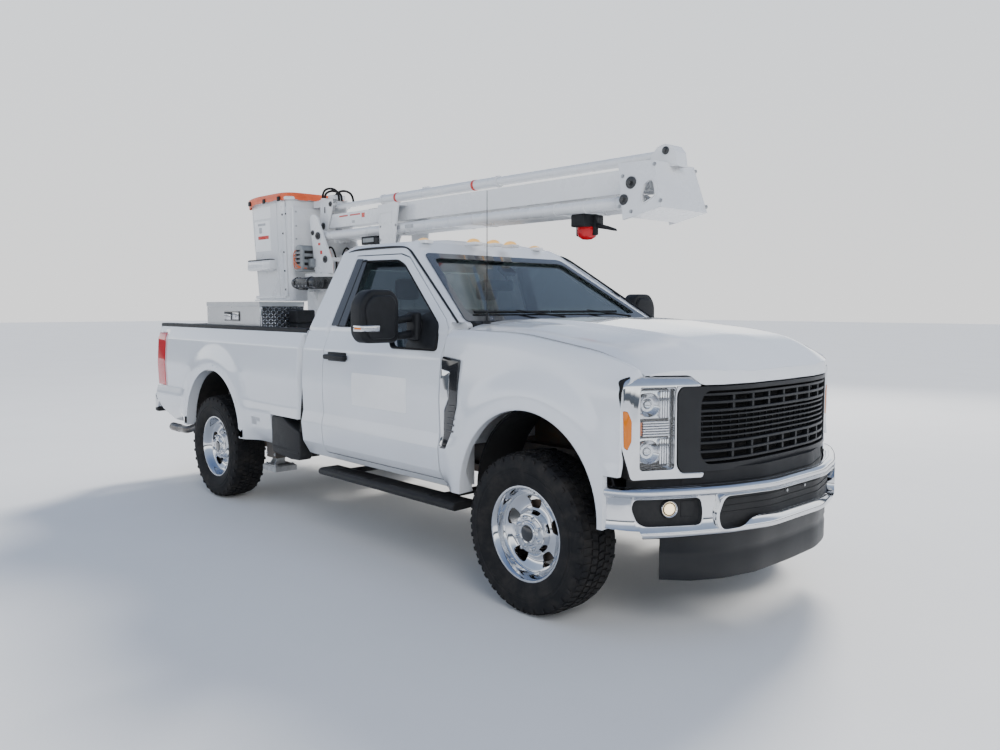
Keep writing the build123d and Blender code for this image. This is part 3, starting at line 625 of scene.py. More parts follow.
def plan_at(plan, distance):
    """The point and outward direction at a distance along a plan from its middle."""
    distance = min(max(distance, plan[0][0]), plan[-1][0])
    low = max(i for i, row in enumerate(plan) if row[0] <= distance)
    low = min(low, len(plan) - 2)
    (d0, p0), (d1, p1) = plan[low], plan[low + 1]
    point = p0.lerp(p1, (distance - d0) / (d1 - d0))
    before, after = plan[max(0, low - 3)][1], plan[min(len(plan) - 1, low + 4)][1]
    run = (after - before).normalized()
    return point, Vector((run.y, -run.x))


def wrap(bm, plan, low, high, size=0.03):
    """Bend a mesh drawn flat, with X out of the face and Y along it, round a plan."""
    slice_up(bm, "y", steps(low, high, size))
    for vert in bm.verts:
        point, out = plan_at(plan, vert.co.y)
        spot = point + out * vert.co.x
        vert.co = Vector((spot.x, spot.y, vert.co.z))


def hose(name, points, radius, finish_name, body):
    """A hose or wire through some points, as a mesh."""
    line = bpy.data.curves.new(name, "CURVE")
    line.dimensions = "3D"
    line.bevel_depth = radius
    line.bevel_resolution = 2
    line.resolution_u = 6
    line.use_fill_caps = True
    spline = line.splines.new("NURBS")
    spline.points.add(len(points) - 1)
    for knot, point in zip(spline.points, points):
        knot.co = (*point, 1)
    spline.order_u = 3
    spline.use_endpoint_u = True
    thing = bpy.data.objects.new(name, line)
    bm = bmesh.new()
    bm.from_mesh(bpy.data.meshes.new_from_object(thing))
    bpy.data.objects.remove(thing)
    bpy.data.curves.remove(line)
    piece(name, bm, finish_name, body, crease=60)


# The nose: station, then the shoulder, edge, ridge and crown of its section as (y, z)
NOSE = (
    (2.90, (0.940, 1.392), (0.868, 1.446), (0.600, 1.484), (0.0, 1.496)),
    (3.48, (0.944, 1.376), (0.884, 1.434), (0.590, 1.470), (0.0, 1.480)),
    (4.04, (0.944, 1.290), (0.884, 1.350), (0.560, 1.416), (0.0, 1.428)),
    (4.29, (0.920, 1.190), (0.850, 1.250), (0.520, 1.368), (0.0, 1.390)),
    (4.40, (0.900, 1.120), (0.800, 1.190), (0.500, 1.300), (0.0, 1.330)),
    (4.50, (0.880, 1.080), (0.760, 1.150), (0.480, 1.190), (0.0, 1.200)),
)
FACE_REACH = ((0, 4.470), (0.3, 4.462), (0.5, 4.425), (0.7, 4.335), (0.86, 4.25), (0.985, 4.205))
SHOULDER, EDGE, RIDGE, CROWN = 1, 2, 3, 4
WING_REAR_X = 2.938
WING_FRONT_X = 4.205
WING_INNER_Y = 0.871
WING_TOP_SHARE = 0.985
WING_GAP = 0.004
BONNET_REAR_X = 3.041
BONNET_HALF = 0.862
BONNET_TOP_SHARE = 0.94
PANEL_THICKNESS = 0.02
BONNET_LIP = ((0.0, 1.200), (0.605, 1.200), (0.665, 1.247), (1.1, 1.250))


def nose_point(x, part):
    """One of the nose section's points at a station, faired over 120 mm each way."""
    spots = [x + step * 0.04 for step in range(-3, 4)]
    return [sum(blend_between([(row[0], row[part][k]) for row in NOSE], spot) for spot in spots) / 7
            for k in (0, 1)]


def nose_height(x, y):
    """The height of the nose at a point, faired across as well."""
    table = [(0.0, nose_point(x, CROWN)[1])]
    table += [(yy, z) for yy, z in (nose_point(x, part) for part in (RIDGE, EDGE, SHOULDER))]
    spots = [abs(y + step * 0.03) for step in range(-3, 4)]
    return sum(blend_between(table, spot) for spot in spots) / 7


def wing_line(x):
    """The wing's outer section at a station, from its inner top edge to its foot."""
    shoulder, edge = nose_point(x, SHOULDER), nose_point(x, EDGE)
    top = [(WING_INNER_Y, nose_height(x, WING_INNER_Y)), (edge[0] + 0.02, edge[1] - 0.012),
           (shoulder[0] + 0.004, shoulder[1] - 0.004), (0.972, 1.20), (0.984, 1.10)]
    return rounded(top + [(0.990, 1.0), (0.984, 0.90), (0.982, 0.852), (1.0, 0.790), (1.0, 0.765), (0.988, 0.640),
                          (0.932, 0.545)], 0.05, 6)[3:-3] + [(0.932, 0.545)]


def make_wings(looks):
    """Front wings: one faired sheet each, with the wheel arch cut and its lip turned out."""
    for side, sign in SIDES:
        bm = bmesh.new()
        rows = len(wing_line(3.5)) - 1
        lines = {}

        def place(u, v):
            share = min(1.0, u / WING_TOP_SHARE)
            x = round(WING_REAR_X + (WING_FRONT_X - WING_REAR_X) * share, 5)
            if x not in lines:
                lines[x] = wing_line(x)
            y, z = lines[x][round(v * rows)]
            reach = max(0.0, blend_between(FACE_REACH, y) - WING_GAP - WING_FRONT_X)
            if u > WING_TOP_SHARE:
                z = min(z, blend_between(BONNET_LIP, y) - WING_GAP)
            return (x + reach * smooth_step(0.6, 1.0, share), y, z)
        surface(bm, 74, rows, place)
        thicken(bm, "y", PANEL_THICKNESS)
        outward(bm)
        tool = bmesh.new()
        arch = [(FRONT_ARCH_X + ARCH_R * cos(radians(a)), ARCH_Z + ARCH_R * sin(radians(a))) for a in range(0, 181, 4)]
        plate(tool, [(FRONT_ARCH_X + ARCH_R, 0.3)] + arch + [(FRONT_ARCH_X - ARCH_R, 0.3)], "y", 0.7, 1.2)
        block(tool, (4.128, 4.30), (0.7, 1.2), (0.4, 0.797))
        bm = cut(bm, tool)
        for vert in bm.verts:
            if outer_skin(vert.co):
                arch_flare(vert.co, FRONT_ARCH_X)
        lip = [(0.0, ARCH_R - 0.001), (0.034, ARCH_R - 0.001), (0.040, ARCH_R + 0.004), (0.038, ARCH_R + 0.020),
               (0.030, ARCH_R + 0.026), (0.0, ARCH_R + 0.02), (0.0, ARCH_R - 0.001)]
        lip_ring = bmesh.new()
        lathe(lip_ring, lip, (FRONT_ARCH_X, 0.972, ARCH_Z), steps=96)
        outward(lip_ring)
        above(lip_ring, ARCH_Z)
        bmesh.ops.holes_fill(lip_ring, edges=[e for e in lip_ring.edges if e.is_boundary])
        join(bm, lip_ring)
        if sign < 0:
            bmesh.ops.scale(bm, verts=bm.verts, vec=(1, -1, 1))
            bmesh.ops.reverse_faces(bm, faces=bm.faces)
        piece(f"front_wing_{side}", bm, "body_paint", "chassis", stands_for=("wings",))


def make_bonnet(looks):
    """The bonnet, with its raised middle between two soft creases."""
    bm = bmesh.new()

    def place(u, v):
        y = (v - 0.5) * 2 * BONNET_HALF
        reach = blend_between(FACE_REACH, abs(y)) - 0.003
        along = min(1.0, u / BONNET_TOP_SHARE)
        x = BONNET_REAR_X + (reach - BONNET_REAR_X) * along
        z = nose_height(x, y)
        crease = 0.50 - 0.03 * (x - BONNET_REAR_X)
        fade = smooth_step(3.05, 3.25, x) * (1 - smooth_step(4.15, 4.42, x))
        z += looks.bonnet_rise * fade * (1 - smooth_step(crease, crease + 0.09, abs(y)))
        lip = blend_between(BONNET_LIP, abs(y))
        if u > BONNET_TOP_SHARE:
            z += (lip - z) * (u - BONNET_TOP_SHARE) / (1 - BONNET_TOP_SHARE)
        return (x, y, max(z, lip))
    surface(bm, 66, 76, place)
    thicken(bm, "z", PANEL_THICKNESS)
    outward(bm)
    piece("bonnet_skin", bm, "body_paint", "bonnet", stands_for=("bonnet",))
    bm = bmesh.new()
    for sign in (1, -1):
        rod(bm, (3.10, sign * 0.30, 1.42), (4.20, sign * 0.62, 1.30), 0.018, steps=10)
        rod(bm, (4.20, sign * 0.60, 1.30), (4.20, 0, 1.33), 0.016, steps=10)
    rod(bm, (3.10, -0.32, 1.42), (3.10, 0.32, 1.42), 0.018, steps=10)
    piece("bonnet_frame", bm, "body_paint", "bonnet")


def make_bed_sides(looks):
    """Bed sides curved like the doors, with pockets for the tail lamps, and their rail caps."""
    bm = cad_copy("bed_sides")
    body_side(bm, REAR_ARCH_X, -1.1, 1.4)
    tool = bmesh.new()
    for sign in (1, -1):
        pocket = [(-1.20, 0.855), (-1.074, 0.855), (-1.074, 0.945), (-0.948, 0.945), (-0.948, 1.2), (-1.20, 1.2)]
        plate(tool, [(x, sign * y) for x, y in pocket], "z", 0.847, 1.325)
        block(tool, (1.390, 1.50), between(sign, 0.930, 1.2), (0.50, 1.36))
    bm = cut(bm, tool)
    bmesh.ops.dissolve_degenerate(bm, dist=0.002, edges=bm.edges)
    piece("bed_side_skins", bm, "body_paint", "chassis", stands_for=("bed_sides",))
    bm = bmesh.new()
    block(bm, (BED_REAR_X + 0.002, BED_FRONT_X - 0.002), (0.853, 0.936), (BELT_Z - 0.024, BELT_Z + 0.009), 0.007, 3)
    both_sides(bm)
    piece("bed_rail_caps", bm, "black_plastic", "chassis")


def make_doors(looks):
    """Doors curved like the sides that they close."""
    for side, _ in SIDES:
        bm = cad_copy(f"door_{side}")
        slice_up(bm, "x", steps(1.74, 2.9, 0.06))
        slice_up(bm, "z", steps(0.62, 1.84, 0.035))
        soften(bm, 10, "yz", keep=below_crease)
        piece(f"door_skin_{side}", bm, "body_paint", f"door_{side}", stands_for=(f"door_{side}",))


def make_cab(looks):
    """The cab's shell, its panels bent evenly."""
    bm = cad_copy("cab_shell")
    slice_up(bm, "x", steps(1.46, 2.98, 0.06))
    slice_up(bm, "y", steps(-0.9, 0.9, 0.06))
    slice_up(bm, "z", steps(0.6, 1.98, 0.05))
    soften(bm, 6, "xyz", sharp=34, keep=below_crease)
    piece("cab_skin", bm, "body_paint", "chassis", stands_for=("cab_shell",))


# Front end

FACE = make_plan([(4.470, 0), (4.462, 0.3), (4.425, 0.5), (4.335, 0.7), (4.25, 0.86), (4.205, 0.985)], 0.07)
BUMPER = make_plan([(4.5665, 0), (4.5665, 0.25), (4.49, 0.52), (4.39, 0.73), (4.29, 0.9), (4.2, 0.985),
                    (4.12, 1.005)], 0.06)
BUMPER_END = BUMPER[-1][0]
DAM = make_plan([(4.500, 0), (4.490, 0.300), (4.440, 0.500), (4.360, 0.640), (4.250, 0.740)], 0.06)

# The bumper's section as (how far back, height), from the back of its top down to the lip underneath
BUMPER_SECTION = [(-0.080, 0.738), (-0.035, 0.742), (-0.012, 0.739), (-0.003, 0.732), (0.0, 0.722), (-0.002, 0.710),
                  (-0.010, 0.702), (-0.016, 0.696), (-0.020, 0.660), (-0.020, 0.600), (-0.014, 0.560),
                  (-0.004, 0.545), (0.0, 0.535), (-0.004, 0.520), (-0.016, 0.510), (-0.045, 0.507)]
CENTRE_HOLE = rounded([(-0.585, 0.532), (-0.455, 0.537), (-0.365, 0.577), (0.365, 0.577), (0.455, 0.537),
                       (0.585, 0.532), (0.605, 0.60), (0.570, 0.692), (-0.570, 0.692), (-0.605, 0.60)], 0.035)
FOG_HOLE = rounded([(0.682, 0.566), (0.965, 0.570), (1.002, 0.590), (1.028, 0.655), (1.015, 0.696), (0.690, 0.696),
                    (0.677, 0.63)], 0.03)
FOG_Y, FOG_Z = 0.836, 0.642


def make_front_bumper(looks):
    """A chromed bumper with fog lamp recesses and a dark middle, over black inserts."""
    bm = bmesh.new()
    inner = [(x - 0.004, z) for x, z in reversed(BUMPER_SECTION)]
    plate(bm, BUMPER_SECTION + inner, "y", -BUMPER_END, BUMPER_END)
    tool = bmesh.new()
    plate(tool, CENTRE_HOLE, "x", -0.06, 0.05)
    plate(tool, FOG_HOLE, "x", -0.06, 0.05)
    plate(tool, [(-y, z) for y, z in FOG_HOLE], "x", -0.06, 0.05)
    for sign in (1, -1):
        plate(tool, [(sign * y, z) for y, z in ((0.955, 0.49), (1.3, 0.49), (1.3, 0.560), (0.985, 0.548))],
              "x", -0.1, 0.05)
    bm = cut(bm, tool)
    for hole, sides in ((CENTRE_HOLE, (1,)), (FOG_HOLE, (1, -1))):
        for sign in sides:
            outer = across(sign, hole)
            middle = [sum(values) / len(outer) for values in zip(*outer)]
            lip = bmesh.new()
            plate(lip, scaled(outer, middle, 1.012), "x", -0.045, -0.001)
            hollow = bmesh.new()
            plate(hollow, scaled(outer, middle, 0.985), "x", -0.06, 0.02)
            join(bm, cut(lip, hollow))
    for vert in bm.verts:
        rise = 0.024 * (1 - smooth_step(0.60, 0.66, abs(vert.co.y))) * smooth_step(0.70, 0.72, vert.co.z)
        vert.co.z += rise * smooth_step(0.0, 0.02, -vert.co.x)
    wrap(bm, BUMPER, -BUMPER_END, BUMPER_END)
    piece("front_bumper_skin", bm, "chrome", "chassis", crease=40, stands_for=("bumpers",))
    bm = bmesh.new()
    block(bm, (-0.05, -0.04), (-0.62, 0.62), (0.515, 0.712))
    for z in (0.60, 0.63, 0.66):
        block(bm, (-0.041, -0.036), (-0.56, 0.56), (z, z + 0.006))
    block(bm, (-0.092, -0.082), (-1.05, 1.05), (0.54, 0.792))
    block(bm, (-0.125, -0.080), (-0.75, 0.75), (0.74, 0.804))
    for sign in (1, -1):
        block(bm, (-0.045, -0.035), between(sign, 0.66, 1.045), (0.550, 0.712))
        rod(bm, (-0.036, sign * FOG_Y, FOG_Z), (-0.024, sign * FOG_Y, FOG_Z), 0.043, 0.040, 32)
        block(bm, (-0.036, -0.032), between(sign, 0.70, 0.775), (0.60, 0.675), 0.002)
    wrap(bm, BUMPER, -1.08, 1.08)
    piece("front_bumper_inserts", bm, "black_plastic", "chassis")
    bm = bmesh.new()
    for sign in (1, -1):
        lathe(bm, [(0.006, 0.0), (0.003, 0.022), (-0.002, 0.026)], (-0.022, sign * FOG_Y, FOG_Z), "x", 32)
        lathe(bm, [(-0.002, 0.026), (-0.006, 0.028), (0.002, 0.034), (0.004, 0.037), (-0.002, 0.040)],
              (-0.022, sign * FOG_Y, FOG_Z), "x", 32, index=1)
    for vert in bm.verts:
        point, out = plan_at(BUMPER, math.copysign(FOG_Y, vert.co.y))
        side = vert.co.y - math.copysign(FOG_Y, vert.co.y)
        run = Vector((-out.y, out.x))
        spot = point + out * vert.co.x + run * side
        vert.co = Vector((spot.x, spot.y, vert.co.z))
    outward(bm)
    piece("fog_lenses", bm, "bulb chrome", "chassis", crease=60)
    bm = bmesh.new()
    for y in (-0.0889, 0.0889):
        rod(bm, (-0.045, y, 0.660), (-0.030, y, 0.660), 0.008, steps=6)
    wrap(bm, BUMPER, -0.1, 0.1, 0.1)
    piece("front_plate_screws", bm, "zinc", "chassis")


def make_air_dam(looks):
    """The black apron under the bumper, curved, with a step along it and a rolled lower edge."""
    bm = bmesh.new()
    rows = [(0.010, 0.505), (0.010, 0.430), (0.0065, 0.424), (0.0065, 0.395), (0.010, 0.389), (0.010, 0.300),
            (0.006, 0.288), (-0.004, 0.284), (-0.010, 0.300), (-0.010, 0.505)]
    plate(bm, rows, "y", DAM[0][0], DAM[-1][0])
    wrap(bm, DAM, DAM[0][0], DAM[-1][0], 0.02)
    piece("air_dam", bm, "grille_black", "chassis")


def make_grille(looks):
    """A black slotted grille: two rows of cells above and below a set of thin bars."""
    bm = bmesh.new()
    plate(bm, rounded([(-0.712, 0.796), (0.712, 0.796), (0.738, 0.83), (0.742, 1.160), (0.722, 1.192),
                       (-0.722, 1.192), (-0.742, 1.160), (-0.738, 0.83)], 0.02), "x", -0.05, -0.004)
    tool = bmesh.new()
    plate(tool, rounded([(-0.585, 0.828), (0.585, 0.828), (0.620, 0.87), (0.620, 1.13), (0.590, 1.172), (-0.590, 1.172),
                         (-0.620, 1.13), (-0.620, 0.87)], 0.03), "x", -0.1, 0.02)
    bm = cut(bm, tool)
    for z in (0.846, 0.887, 0.928, 1.078, 1.116, 1.154):
        block(bm, (-0.045, -0.010), (-0.625, 0.625), (z - 0.0065, z + 0.0065), 0.002, 1)
    for z in (0.955, 0.980, 1.005, 1.030, 1.055):
        block(bm, (-0.045, -0.014), (-0.625, 0.625), (z - 0.004, z + 0.004), 0.001, 1)
    for low, high in ((0.842, 0.932), (1.074, 1.158)):
        for i in range(-3, 4):
            y = i * 0.140
            block(bm, (-0.045, -0.013), (y - 0.008, y + 0.008), (low, high), 0.0015, 1)
    for i in range(-10, 11):
        block(bm, (-0.050, -0.040), (i * 0.059 - 0.003, i * 0.059 + 0.003), (0.93, 1.08), 0.001, 1)
    wrap(bm, FACE, -0.745, 0.745)
    piece("grille_face", bm, "grille_black", "chassis", stands_for=("grille",))
    bm = bmesh.new()
    plate(bm, oblong(-0.60, 0.60, 0.81, 1.2, 0.02), "x", -0.085, -0.075)
    wrap(bm, FACE, -0.6, 0.6)
    piece("grille_backing", bm, "rubber", "chassis")


LAMP_WINDOW = [(0.756, 0.816), (0.932, 0.816), (0.932, 1.192), (0.756, 1.192)]
MARKER = [(1.022, 1.096), (0.996, 1.090), (0.975, 1.045), (0.975, 0.955), (0.996, 0.915), (1.016, 0.930)]


def lamp_bowl(bm, y, z, radius, depth):
    """A bright bowl open to the front."""
    lathe(bm, [(-depth, 0.004), (-depth * 0.9, radius * 0.45), (-depth * 0.55, radius * 0.8), (-0.004, radius),
               (0.0, radius + 0.004), (-0.004, radius + 0.006)], (-0.03, y, z), "x", 32)


def lean_back(bm):
    """Roll the top of a face drawn flat back towards the bonnet."""
    for vert in bm.verts:
        if vert.co.x > -0.04:
            vert.co.x -= 0.022 * smooth_step(1.195, 1.260, vert.co.z)


def make_headlamps(looks):
    """Chromed C-shaped surrounds with two lamp modules, a light bar and an amber side marker."""
    frame_outline = [(0.618, 1.195), (0.665, 1.238), (0.965, 1.243), (1.015, 1.222), (1.030, 1.17), (1.033, 0.95),
                     (0.975, 0.776), (0.607, 0.770), (0.600, 0.794), (0.722, 0.797), (0.745, 0.83), (0.749, 1.165),
                     (0.728, 1.195)]
    for side, sign in SIDES:
        bm = bmesh.new()
        seal = [(y + (0.004 if y > 0.8 else 0.0), z + (0.005 if z > 1.0 else -0.006)) for y, z in frame_outline]
        plate(bm, across(sign, rounded(seal, 0.02)), "x", -0.075, -0.004)
        tool = bmesh.new()
        plate(tool, across(sign, LAMP_WINDOW), "x", -0.1, 0.05)
        bm = cut(bm, tool)
        slice_up(bm, "z", steps(1.20, 1.25, 0.01))
        lean_back(bm)
        wrap(bm, FACE, -1.045, 1.045, 0.025)
        piece(f"headlamp_seal_{side}", bm, "rubber", "chassis")
        bm = bmesh.new()
        plate(bm, across(sign, rounded(frame_outline, 0.018)), "x", -0.075, -0.001, 0.005, 3)
        tool = bmesh.new()
        plate(tool, across(sign, rounded(LAMP_WINDOW, 0.02)), "x", -0.062, 0.05)
        plate(tool, across(sign, rounded(MARKER, 0.008)), "x", -0.014, 0.05)
        bm = cut(bm, tool)
        slice_up(bm, "z", steps(1.20, 1.24, 0.01))
        lean_back(bm)
        wrap(bm, FACE, -1.03, 1.03, 0.025)
        piece(f"headlamp_surround_{side}", bm, "chrome", "chassis", crease=35,
              stands_for=("headlamps",))
        bm = bmesh.new()
        plate(bm, across(sign, oblong(0.762, 0.926, 0.822, 1.186, 0.018)), "x", -0.0615, -0.058)
        wrap(bm, FACE, -1.03, 1.03, 0.03)
        piece(f"headlamp_pocket_{side}", bm, "black_gloss", "chassis")
        bm = bmesh.new()
        for low, high in ((0.832, 0.958), (1.046, 1.178)):
            plate(bm, across(sign, oblong(0.766, 0.922, low, high, 0.012)), "x", -0.058, -0.052, 0.002,
                  index=1)
            lamp_bowl(bm, 0.872 * sign, (low + high) / 2, 0.050, 0.030)
            for i in range(4):
                y = sorted((sign * (0.768 + i * 0.0125), sign * (0.779 + i * 0.0125)))
                block(bm, (-0.054, -0.034), y, (low + 0.004, high - 0.004), 0.003)
        for z in steps(0.972, 1.032, 0.012):
            block(bm, (-0.056, -0.034), between(sign, 0.768, 0.900), (z - 0.0045, z + 0.0045), 0.0015, 1)
        wrap(bm, FACE, -1.03, 1.03, 0.03)
        piece(f"headlamp_modules_{side}", bm, "chrome dark_metal", "chassis", crease=35)
        bm = bmesh.new()
        for z in (0.895, 1.112):
            lathe(bm, [(0.012, 0.0), (0.009, 0.012), (0.0, 0.020), (-0.012, 0.022)], (-0.05, 0.872 * sign, z), "x", 24)
        wrap(bm, FACE, -1.03, 1.03, 0.1)
        piece(f"headlamp_lenses_{side}", bm, "lamp_glass", "chassis", crease=60)
        bm = bmesh.new()
        plate(bm, across(sign, oblong(0.759, 0.929, 0.819, 1.189, 0.018)), "x", -0.011, -0.006)
        wrap(bm, FACE, -1.03, 1.03, 0.025)
        piece(f"headlamp_cover_{side}", bm, "lamp_glass", "chassis")
        bm = bmesh.new()
        plate(bm, across(sign, rounded([(y + (0.998 - y) * 0.02, z + (1.006 - z) * 0.01) for y, z in MARKER], 0.008)),
              "x", -0.0135, 0.001, 0.003)
        block(bm, (-0.056, -0.036), between(sign, 0.904, 0.918), (0.972, 1.032), 0.002)
        wrap(bm, FACE, -1.03, 1.03, 0.02)
        piece(f"side_marker_{side}", bm, "amber_glass", "chassis")


# Wheels and tyres

NUT_CIRCLE = 0.0825
NUT_COUNT = 8
WINDOW_COUNT = 5
TREAD_ROWS = (-0.092, -0.046, 0.0, 0.046, 0.092)
TREAD_PITCHES = 64
WHEEL_PLACES = [(f"{end}_{side}", x, sign * y, sign) for end, x, y in (("front", WHEELBASE, FRONT_WHEEL_Y),
                                                                       ("rear", 0.0, REAR_WHEEL_Y))
                for side, sign in SIDES]


def settle(bm, place):
    """Move a wheel part, drawn about the origin with its face towards +Y, to a wheel's place."""
    _, x, y, sign = place
    if sign < 0:
        bmesh.ops.rotate(bm, verts=bm.verts, cent=(0, 0, 0), matrix=Matrix.Rotation(pi, 3, "Z"))
    bmesh.ops.translate(bm, verts=bm.verts, vec=(x, y, AXLE_Z))


def make_rims(looks):
    """Polished wheels: a lipped barrel and a dished disc with five windows."""
    barrel = [(0.112, 0.245), (0.112, 0.237), (0.106, 0.231), (0.092, 0.226), (0.080, 0.219), (0.058, 0.214),
              (0.050, 0.206), (-0.098, 0.206), (-0.112, 0.236), (-0.112, 0.245), (-0.103, 0.245), (-0.099, 0.2295),
              (0.099, 0.2295), (0.103, 0.245), (0.112, 0.245)]
    disc = [(0.0, 0.210), (0.046, 0.2105), (0.052, 0.206), (0.056, 0.197), (0.052, 0.188), (0.038, 0.172),
            (0.030, 0.150), (0.030, 0.130), (0.040, 0.113), (0.062, 0.106), (0.078, 0.100), (0.082, 0.092),
            (0.082, 0.066), (0.088, 0.060), (0.090, 0.030), (0.090, 0.0)]
    back = [(a - 0.012, max(0.0, r - 0.003)) for a, r in reversed(disc[1:])]
    for place in WHEEL_PLACES:
        bm = bmesh.new()
        lathe(bm, disc + back + [disc[0]], (0, 0, 0), steps=80)
        outward(bm)
        tool = bmesh.new()
        window = rounded([(-0.028, 0.122), (0.028, 0.122), (0.050, 0.176), (0.022, 0.187), (-0.022, 0.187),
                          (-0.050, 0.176)], 0.013)
        plate(tool, window, "y", -0.1, 0.1)
        copies(tool, everything(tool), WINDOW_COUNT, (0, 0, 0), "Y")
        bm = cut(bm, tool)
        lathe(bm, barrel, (0, 0, 0), steps=80)
        outward(bm)
        settle(bm, place)
        piece(f"rim_{place[0]}", bm, "chrome", f"wheel_{place[0]}", crease=38,
              stands_for=(f"wheel_{place[0]}",))
        bm = bmesh.new()
        for turn in range(NUT_COUNT):
            angle = 2 * pi * (turn + 0.5) / NUT_COUNT
            x, z = NUT_CIRCLE * cos(angle), NUT_CIRCLE * sin(angle)
            rod(bm, (x, 0.078, z), (x, 0.086, z), 0.0135, 0.0125, 12)
            rod(bm, (x, 0.085, z), (x, 0.103, z), 0.0105, 0.0098, 6, 0.0015)
        lathe(bm, [(0.086, 0.056), (0.093, 0.055), (0.096, 0.050), (0.094, 0.042), (0.088, 0.040)], (0, 0, 0), steps=40)
        rod(bm, (0.150, 0.040, 0.150), (0.163, 0.040, 0.163), 0.0032, steps=10)
        settle(bm, place)
        piece(f"nuts_{place[0]}", bm, "chrome", f"wheel_{place[0]}", crease=35)
        bm = bmesh.new()
        lathe(bm, [(0.086, 0.043), (0.094, 0.040), (0.097, 0.028), (0.098, 0.0)], (0, 0, 0), steps=32)
        lathe(bm, [(-0.020, 0.0), (-0.020, 0.155), (-0.004, 0.160), (-0.004, 0.10), (0.012, 0.09), (0.012, 0.0)],
              (0, 0, 0), steps=32, index=1)
        settle(bm, place)
        piece(f"hub_{place[0]}", bm, "black_gloss cast_iron", f"wheel_{place[0]}")


def make_tyres(looks):
    """All-terrain tyres: ribbed walls, and blocks round the tread."""
    half = [(0.092, 0.2285), (0.108, 0.236), (0.113, 0.247), (0.126, 0.266), (0.1335, 0.296), (0.137, 0.320),
            (0.1345, 0.323), (0.1350, 0.334), (0.1365, 0.338), (0.1345, 0.342), (0.133, 0.360), (0.127, 0.380),
            (0.120, 0.394), (0.112, 0.402), (0.060, 0.4065), (0.0, 0.4075)]
    section = half + [(-a, r) for a, r in reversed(half[:-1])] + [half[0]]
    for place in WHEEL_PLACES:
        bm = bmesh.new()
        lathe(bm, section, (0, 0, 0), steps=96)
        outward(bm)
        for row, y in enumerate(TREAD_ROWS):
            for pitch in range(TREAD_PITCHES):
                angle = 2 * pi * (pitch + 0.5 * (row % 2)) / TREAD_PITCHES
                start = len(bm.verts)
                edge_row = abs(y) > 0.09
                length = 0.0255 if edge_row else 0.029
                low, high = (y - 0.019, y + 0.019) if not edge_row else (y - 0.018, y + 0.025)
                top = TYRE_R - (0.0006 if not edge_row else 0.0035)
                block(bm, (-length / 2, length / 2), (low, high), (0.400, top))
                bm.verts.ensure_lookup_table()
                verts = bm.verts[start:]
                skew = 0.22 * (1 if row % 2 else -1) if not edge_row else 0.0
                for vert in verts:
                    vert.co.x += (vert.co.y - y) * skew
                    if edge_row and abs(vert.co.y) > 0.1 and vert.co.z > 0.405:
                        vert.co.z -= 0.007
                bmesh.ops.rotate(bm, verts=verts, cent=(0, 0, 0), matrix=Matrix.Rotation(angle, 3, "Y"))
        for sign in (1, -1):
            for pitch in range(TREAD_PITCHES // 2):
                start = len(bm.verts)
                block(bm, (-0.010, 0.010), between(sign, 0.121, 0.1305), (0.366, 0.394))
                bm.verts.ensure_lookup_table()
                bmesh.ops.rotate(bm, verts=bm.verts[start:], cent=(0, 0, 0),
                                 matrix=Matrix.Rotation(4 * pi * pitch / TREAD_PITCHES, 3, "Y"))
        settle(bm, place)
        piece(f"tyre_tread_{place[0]}", bm, "tyre_rubber", f"wheel_{place[0]}", crease=35,
              stands_for=(f"tyre_{place[0]}",))


# Cab fittings

SCREEN_FOOT = Vector((3.000, 0, 1.455))
SCREEN_RUN = Vector((-0.678, 0, 0.440)).normalized()
SCREEN_OUT = Vector((0.440, 0, 0.678)).normalized()
MARKERS = ((2.185, 0.51), (2.285, 0.17), (2.295, 0.0), (2.285, -0.17), (2.185, -0.51))


def side_y(z):
    """How far out the cab's side stands at a height above the belt."""
    return 0.922 - 0.4059 * (z - 1.415)


def on_side(bm, sign):
    """Lay a mesh, drawn flat with Y as its height off the surface, on the cab's leaning side."""
    lay(bm, sign, side_y)


def on_screen(bm):
    """Lay a mesh, drawn with X up the windscreen and Z off it, on the glass."""
    for vert in bm.verts:
        co = vert.co.copy()
        vert.co = SCREEN_FOOT + SCREEN_RUN * co.x + SCREEN_OUT * co.z
        vert.co.y = co.y
    outward(bm)


